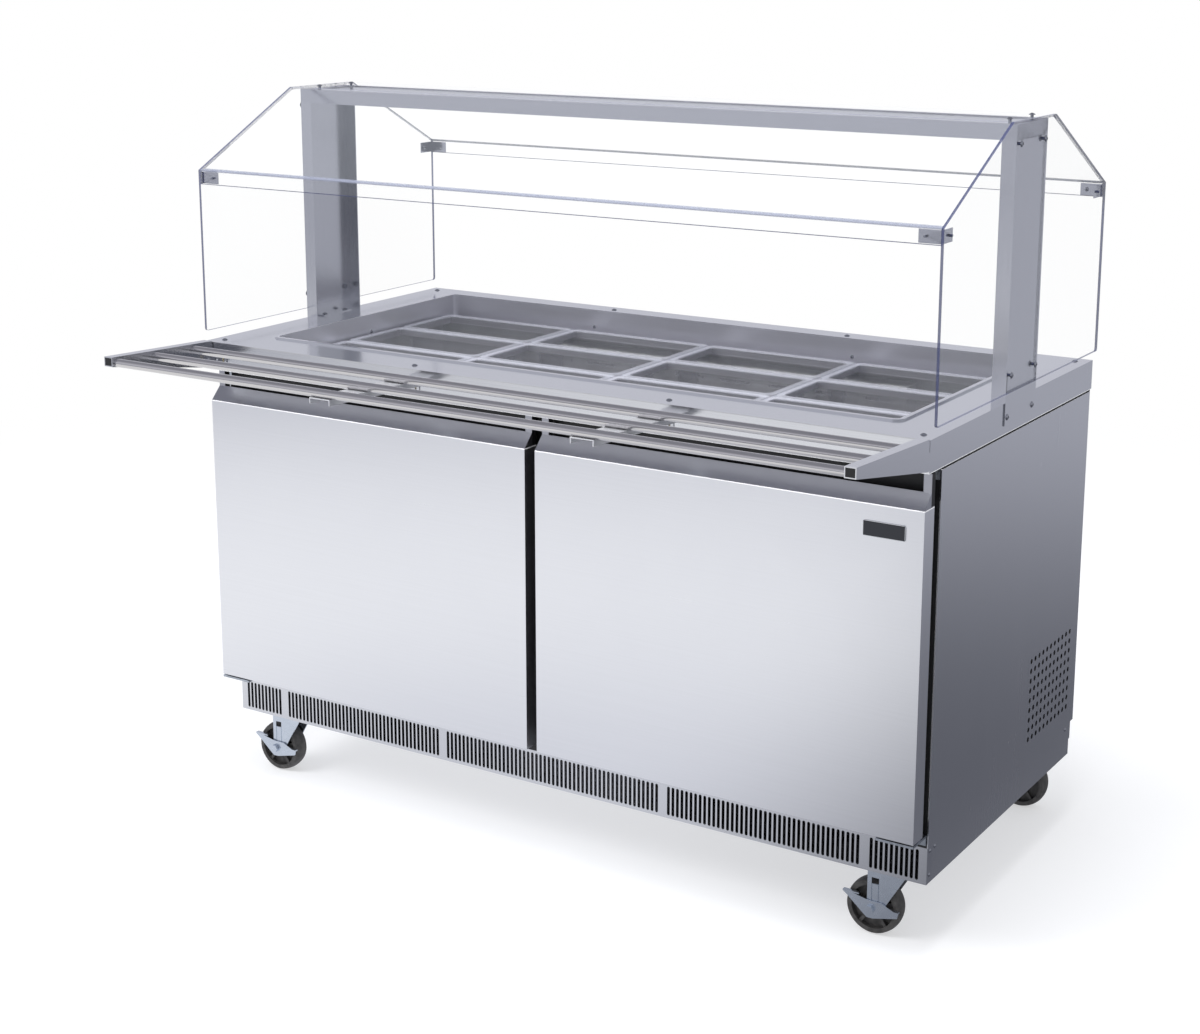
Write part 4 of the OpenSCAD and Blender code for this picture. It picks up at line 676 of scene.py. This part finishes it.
# %% Badge plate on the right door
skin_low, skin_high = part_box("right_door_skin")
badge_w, badge_h = 0.0755, 0.027
badge_side_in, badge_top_in = 0.031, 0.084
badge_high = Vector((skin_high.x - badge_side_in, 0, skin_high.z - badge_top_in))
badge_low = badge_high - Vector((badge_w, 0, badge_h))
badge_corner, corner_steps = 0.004, 6
badge_rise, rim_width, face_sink = 0.0016, 0.0012, 0.0005
edge_round, sink_slope = 0.0004, 0.0003
badge_back_y = skin_low.y


def round_outline(shape, low, high, inset, corner, y):
    """Adds the points of a rectangle with round corners at one depth, and returns them in order."""
    corner = corner - inset
    points = []
    ends = ((high.x, high.z), (low.x, high.z), (low.x, low.z), (high.x, low.z))
    for turn, (x_end, z_end) in enumerate(ends):
        x_way, z_way = (1 if x_end == high.x else -1), (1 if z_end == high.z else -1)
        middle = Vector((x_end - x_way * (corner + inset), y, z_end - z_way * (corner + inset)))
        for step in range(corner_steps + 1):
            angle = math.radians(90 * (turn + step / corner_steps))
            points.append(shape.verts.new(middle + corner * Vector((math.cos(angle), 0, math.sin(angle)))))
    return points


def join_outlines(shape, outlines):
    """Faces between each outline and the next, and one face that closes the last."""
    for first, second in zip(outlines, outlines[1:]):
        for k in range(len(first)):
            n = (k + 1) % len(first)
            shape.faces.new((first[k], first[n], second[n], second[k]))
    shape.faces.new(outlines[-1])
    shape.faces.new(reversed(outlines[0]))


def new_piece(name, shape, finish):
    """Turns a bmesh into an object in the scene, with its normals outward."""
    bmesh.ops.recalc_face_normals(shape, faces=shape.faces)
    mesh = bpy.data.meshes.new(name)
    shape.to_mesh(mesh)
    shape.free()
    mesh.materials.append(finish)
    piece = bpy.data.objects.new(name, mesh)
    bpy.context.scene.collection.objects.link(piece)
    return piece


def badge_finish():
    """Polished rim round a dark satin face, told apart by the distance from the plate's middle."""
    finish, board, place = new_finish("badge_plate")
    middle = (badge_low + badge_high) / 2
    half = (badge_high - badge_low) / 2 - Vector((1, 0, 1)) * rim_width
    across = (split(board, place, "X") - middle.x).size() > half.x
    upright = (split(board, place, "Z") - middle.z).size() > half.z
    rim = across.higher_of(upright)
    grain = noise(board, stretched(board, place, (300.0, 300.0, 3000.0)), 1.0)
    close_finish(board, {
        "Base Color": mix_colours(board, rim, paint(44, 46, 52), paint(214, 216, 220)),
        "Metallic": 0.35 + 0.65 * rim, "Roughness": 0.32 - 0.18 * rim + 0.08 * (grain - 0.5)})
    return finish


plate_shape = bmesh.new()
plate_steps = [(0, 0), (0, badge_rise * 0.7), (edge_round, badge_rise), (rim_width, badge_rise),
               (rim_width + sink_slope, badge_rise - face_sink)]
join_outlines(plate_shape, [
    round_outline(plate_shape, badge_low, badge_high, inset, badge_corner, badge_back_y - rise)
    for inset, rise in plate_steps])
badge = new_piece("badge_plate", plate_shape, badge_finish())
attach(badge, "right_door")
print("badge plate with", len(badge.data.polygons), "faces")

# %% [markdown]
# ## The dark seam under the worktop
# The worktop's skirt stands a few millimetres outside the side panels. A black strip runs along each
# panel right below it, as a painted shadow in the seam under the skirt's painted highlight line. Each strip
# is a D-shaped extrusion, so its outline is drawn once in X and Z and joined along Y.

# %% Painted shadow strips on both sides
side_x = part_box("right_side_panel")[1].x
seam_end_in = 0.001
seam_front_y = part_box("right_side_panel")[0].y + seam_end_in
seam_back_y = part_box("counter_top")[1].y - seam_end_in
strip_bulge, strip_low_z = 0.0016, skirt_low_z - seam_height
low_nose, low_round, high_round, high_nose = 0.0004, 0.0016, 0.0012, 0.0003
strip_outline = [
    (0.0, strip_low_z), (0.7 * strip_bulge, strip_low_z + low_nose), (strip_bulge, strip_low_z + low_round),
    (strip_bulge, skirt_low_z - high_round), (0.7 * strip_bulge, skirt_low_z - high_nose), (0.0, skirt_low_z)]
strip_shape = bmesh.new()
for way in (-1, 1):
    join_outlines(strip_shape, [
        [strip_shape.verts.new((way * (side_x + out), y, z)) for out, z in strip_outline]
        for y in (seam_front_y, seam_back_y)])
# black rubber colour on the strips: a painted shadow in the seam
seam_shadow_strips = new_piece("worktop_seals", strip_shape, rubber_and_shadow_black)
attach(seam_shadow_strips, "cabinet")
print("seam shadow strips", round(1000 * (seam_back_y - seam_front_y)), "mm long")

# %% [markdown]
# ## Sockets in the screw heads
# Every domed screw has a hexagon socket. The CAD heads are smooth, and cutting fifty-six sockets by hand
# would be dull, so one small hexagon, coloured dark as painted shade in the recess, is drawn once and
# Geometry Nodes sets a copy on each head. The script finds the heads in the CAD mesh itself: it splits the
# screws apart, and the end of a screw where it is widest is its head. The points carry two attributes, the
# way that the head faces and its size.

# %% One node group that sets copies of a piece on points
def copies_group():
    """Geometry Nodes: copies a piece to every point, turned by `heading` and scaled by `size`."""
    tree = bpy.data.node_groups.new("copies_on_points", "GeometryNodeTree")
    tree.interface.new_socket("Points", in_out="INPUT", socket_type="NodeSocketGeometry")
    tree.interface.new_socket("Piece", in_out="INPUT", socket_type="NodeSocketObject")
    tree.interface.new_socket("Finish", in_out="INPUT", socket_type="NodeSocketMaterial")
    tree.interface.new_socket("Copies", in_out="OUTPUT", socket_type="NodeSocketGeometry")
    board = Board(tree)
    given = tree.nodes.new("NodeGroupInput")
    points, piece, finish = (Tap(board, given.outputs[key]) for key in ("Points", "Piece", "Finish"))
    heading = board.add("GeometryNodeInputNamedAttribute", {"data_type": "FLOAT_VECTOR"}, {"Name": "heading"})
    size = board.add("GeometryNodeInputNamedAttribute", {"data_type": "FLOAT"}, {"Name": "size"})
    turn = board.add("FunctionNodeAlignRotationToVector", {"axis": "Z"}, {"Vector": heading})
    shape = board.add("GeometryNodeObjectInfo", None, {"Object": piece}, out="Geometry")
    copies = board.add("GeometryNodeInstanceOnPoints", None,
                       {"Points": points, "Instance": shape, "Rotation": turn, "Scale": size})
    solid = board.add("GeometryNodeRealizeInstances", None, {"Geometry": copies})
    dressed = board.add("GeometryNodeSetMaterial", None, {"Geometry": solid, "Material": finish})
    closing = tree.nodes.new("NodeGroupOutput")
    tree.links.new(dressed.socket, closing.inputs["Copies"])
    return tree


copies_on_points = copies_group()


def set_copies(name, seed, finish, spots):
    """One plain mesh with a copy of the seed at each spot, which is a (place, heading, size)."""
    mesh = bpy.data.meshes.new(name + "_points")
    mesh.from_pydata([place for place, heading, size in spots], [], [])
    mesh.attributes.new("heading", "FLOAT_VECTOR", "POINT")
    mesh.attributes.new("size", "FLOAT", "POINT")
    # making the second attribute moves the first in memory, so both are fetched by name to be filled
    mesh.attributes["heading"].data.foreach_set("vector", [part for spot in spots for part in spot[1]])
    mesh.attributes["size"].data.foreach_set("value", [size for place, heading, size in spots])
    points = bpy.data.objects.new(name + "_points", mesh)
    bpy.context.scene.collection.objects.link(points)
    modifier = points.modifiers.new("copies", "NODES")
    modifier.node_group = copies_on_points
    keys = {item.name: item.identifier for item in copies_on_points.interface.items_tree}
    modifier[keys["Piece"]] = seed
    modifier[keys["Finish"]] = finish
    seen = points.evaluated_get(bpy.context.evaluated_depsgraph_get())
    plain = bpy.data.meshes.new_from_object(seen)
    plain.name = name
    piece = bpy.data.objects.new(name, plain)
    bpy.context.scene.collection.objects.link(piece)
    for used in (points, seed):
        bpy.data.objects.remove(used)
    return piece


# %% Find the screw heads in the CAD mesh
same_point = 0.00001


def loose_parts(mesh):
    """The point lists of the separate solids in a mesh. Points are taken in the mesh's own order, so that
    each run gives the same lists."""
    shape = bmesh.new()
    shape.from_mesh(mesh)
    bmesh.ops.remove_doubles(shape, verts=shape.verts, dist=same_point)
    reached, parts = set(), []
    for start in shape.verts:
        if start in reached:
            continue
        reached.add(start)
        edge, part = [start], []
        while edge:
            vert = edge.pop()
            part.append(vert.co.copy())
            for link in vert.link_edges:
                other = link.other_vert(vert)
                if other not in reached:
                    reached.add(other)
                    edge.append(other)
        parts.append(part)
    shape.free()
    return parts


def spread(part, axis):
    """How widely a part's points are spread along an axis."""
    middle = sum(point[axis] for point in part) / len(part)
    return sum((point[axis] - middle) ** 2 for point in part) / len(part)


rim_share = 0.48


def head_of(part):
    """(tip, heading, width) of a domed screw. A screw's length axis is the one whose spread differs most from
    the other two, and its head is where it is widest."""
    spreads = [spread(part, axis) for axis in range(3)]
    long_axis = max(range(3), key=lambda axis: abs(3 * spreads[axis] - sum(spreads)))
    others = [axis for axis in range(3) if axis != long_axis]
    low = [min(point[axis] for point in part) for axis in range(3)]
    high = [max(point[axis] for point in part) for axis in range(3)]
    middle = Vector([(first + second) / 2 for first, second in zip(low, high)])
    width = high[others[0]] - low[others[0]]

    def off_axis(point):
        return math.hypot(*(point[axis] - middle[axis] for axis in others))

    wide = [point[long_axis] for point in part if off_axis(point) > rim_share * width]
    rim = sum(wide) / len(wide)
    way = 1 if rim > middle[long_axis] else -1
    heading, tip = Vector((0, 0, 0)), middle.copy()
    heading[long_axis] = way
    tip[long_axis] = high[long_axis] if way > 0 else low[long_axis]
    return tip, heading, width


heads = [head_of(part) for part in loose_parts(nodes["dome_screws"].data)]
head_widths = sorted({round(1000 * width, 1) for tip, way, width in heads})
print(len(heads), "screw heads, widths in mm:", head_widths)

# %% Hexagon sockets
head_width = 0.012
# each ring of a socket or bolt is a radius and a height, in metres
socket_rings = [(0.0024, -0.0006), (0.0021, -0.0001), (0.0019, 0.0)]
socket_shape = bmesh.new()
hexagon = [math.radians(60 * side) for side in range(6)]
join_outlines(socket_shape, [
    [socket_shape.verts.new((radius * math.cos(angle), radius * math.sin(angle), z)) for angle in hexagon]
    for radius, z in socket_rings])
# Painted shade: the socket is a darker tone than the screw metal around it.
socket_shade_metal = zinc_plate("socket_shade_metal", paint(84, 86, 92), 0.4, 300.0)
socket_seed = new_piece("socket_seed", socket_shape, socket_shade_metal)
sockets = set_copies("screw_sockets", socket_seed, socket_shade_metal,
                     [(tip, way, width / head_width) for tip, way, width in heads])
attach(sockets, "cabinet")
print("sockets with", len(sockets.data.polygons), "faces")

# %% [markdown]
# ## Castor bolts
# Four bolts hold each castor plate to the base. Their heads are under the plate, beside the swivel race,
# with a washer face and a chamfer on the hexagon. They are too small for the CAD model, where the plates
# only have the holes, and the same node group sets all sixteen.

# %% Sixteen bolt heads
bolt_rings = [(0.0062, 0.0), (0.0062, 0.0008), (0.0058, 0.0009), (0.0058, 0.0038), (0.0050, 0.0046)]
bolt_inset, plate_thick, top_band = 0.012, 0.003, 0.0005
bolt_shape = bmesh.new()
join_outlines(bolt_shape, [
    [bolt_shape.verts.new((radius * math.cos(angle), radius * math.sin(angle), z)) for angle in hexagon]
    for radius, z in bolt_rings])
bolt_seed = new_piece("bolt_seed", bolt_shape, castor_zinc)


def plate_boxes():
    """(low, high, top) of each castor plate, by the points of the top face of each solid in that node."""
    for part in loose_parts(nodes["castor_plates"].data):
        top = max(point.z for point in part)
        face = [point for point in part if point.z > top - top_band]
        low = [min(point[axis] for point in face) for axis in range(2)]
        high = [max(point[axis] for point in face) for axis in range(2)]
        yield low, high, top


bolt_spots = []
for low, high, top in plate_boxes():
    for x in (low[0] + bolt_inset, high[0] - bolt_inset):
        for y in (low[1] + bolt_inset, high[1] - bolt_inset):
            bolt_spots.append((Vector((x, y, top - plate_thick)), Vector((0, 0, -1)), 1.0))
bolts = set_copies("castor_bolts", bolt_seed, castor_zinc, bolt_spots)
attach(bolts, "cabinet")
print(len(bolt_spots), "castor bolts")
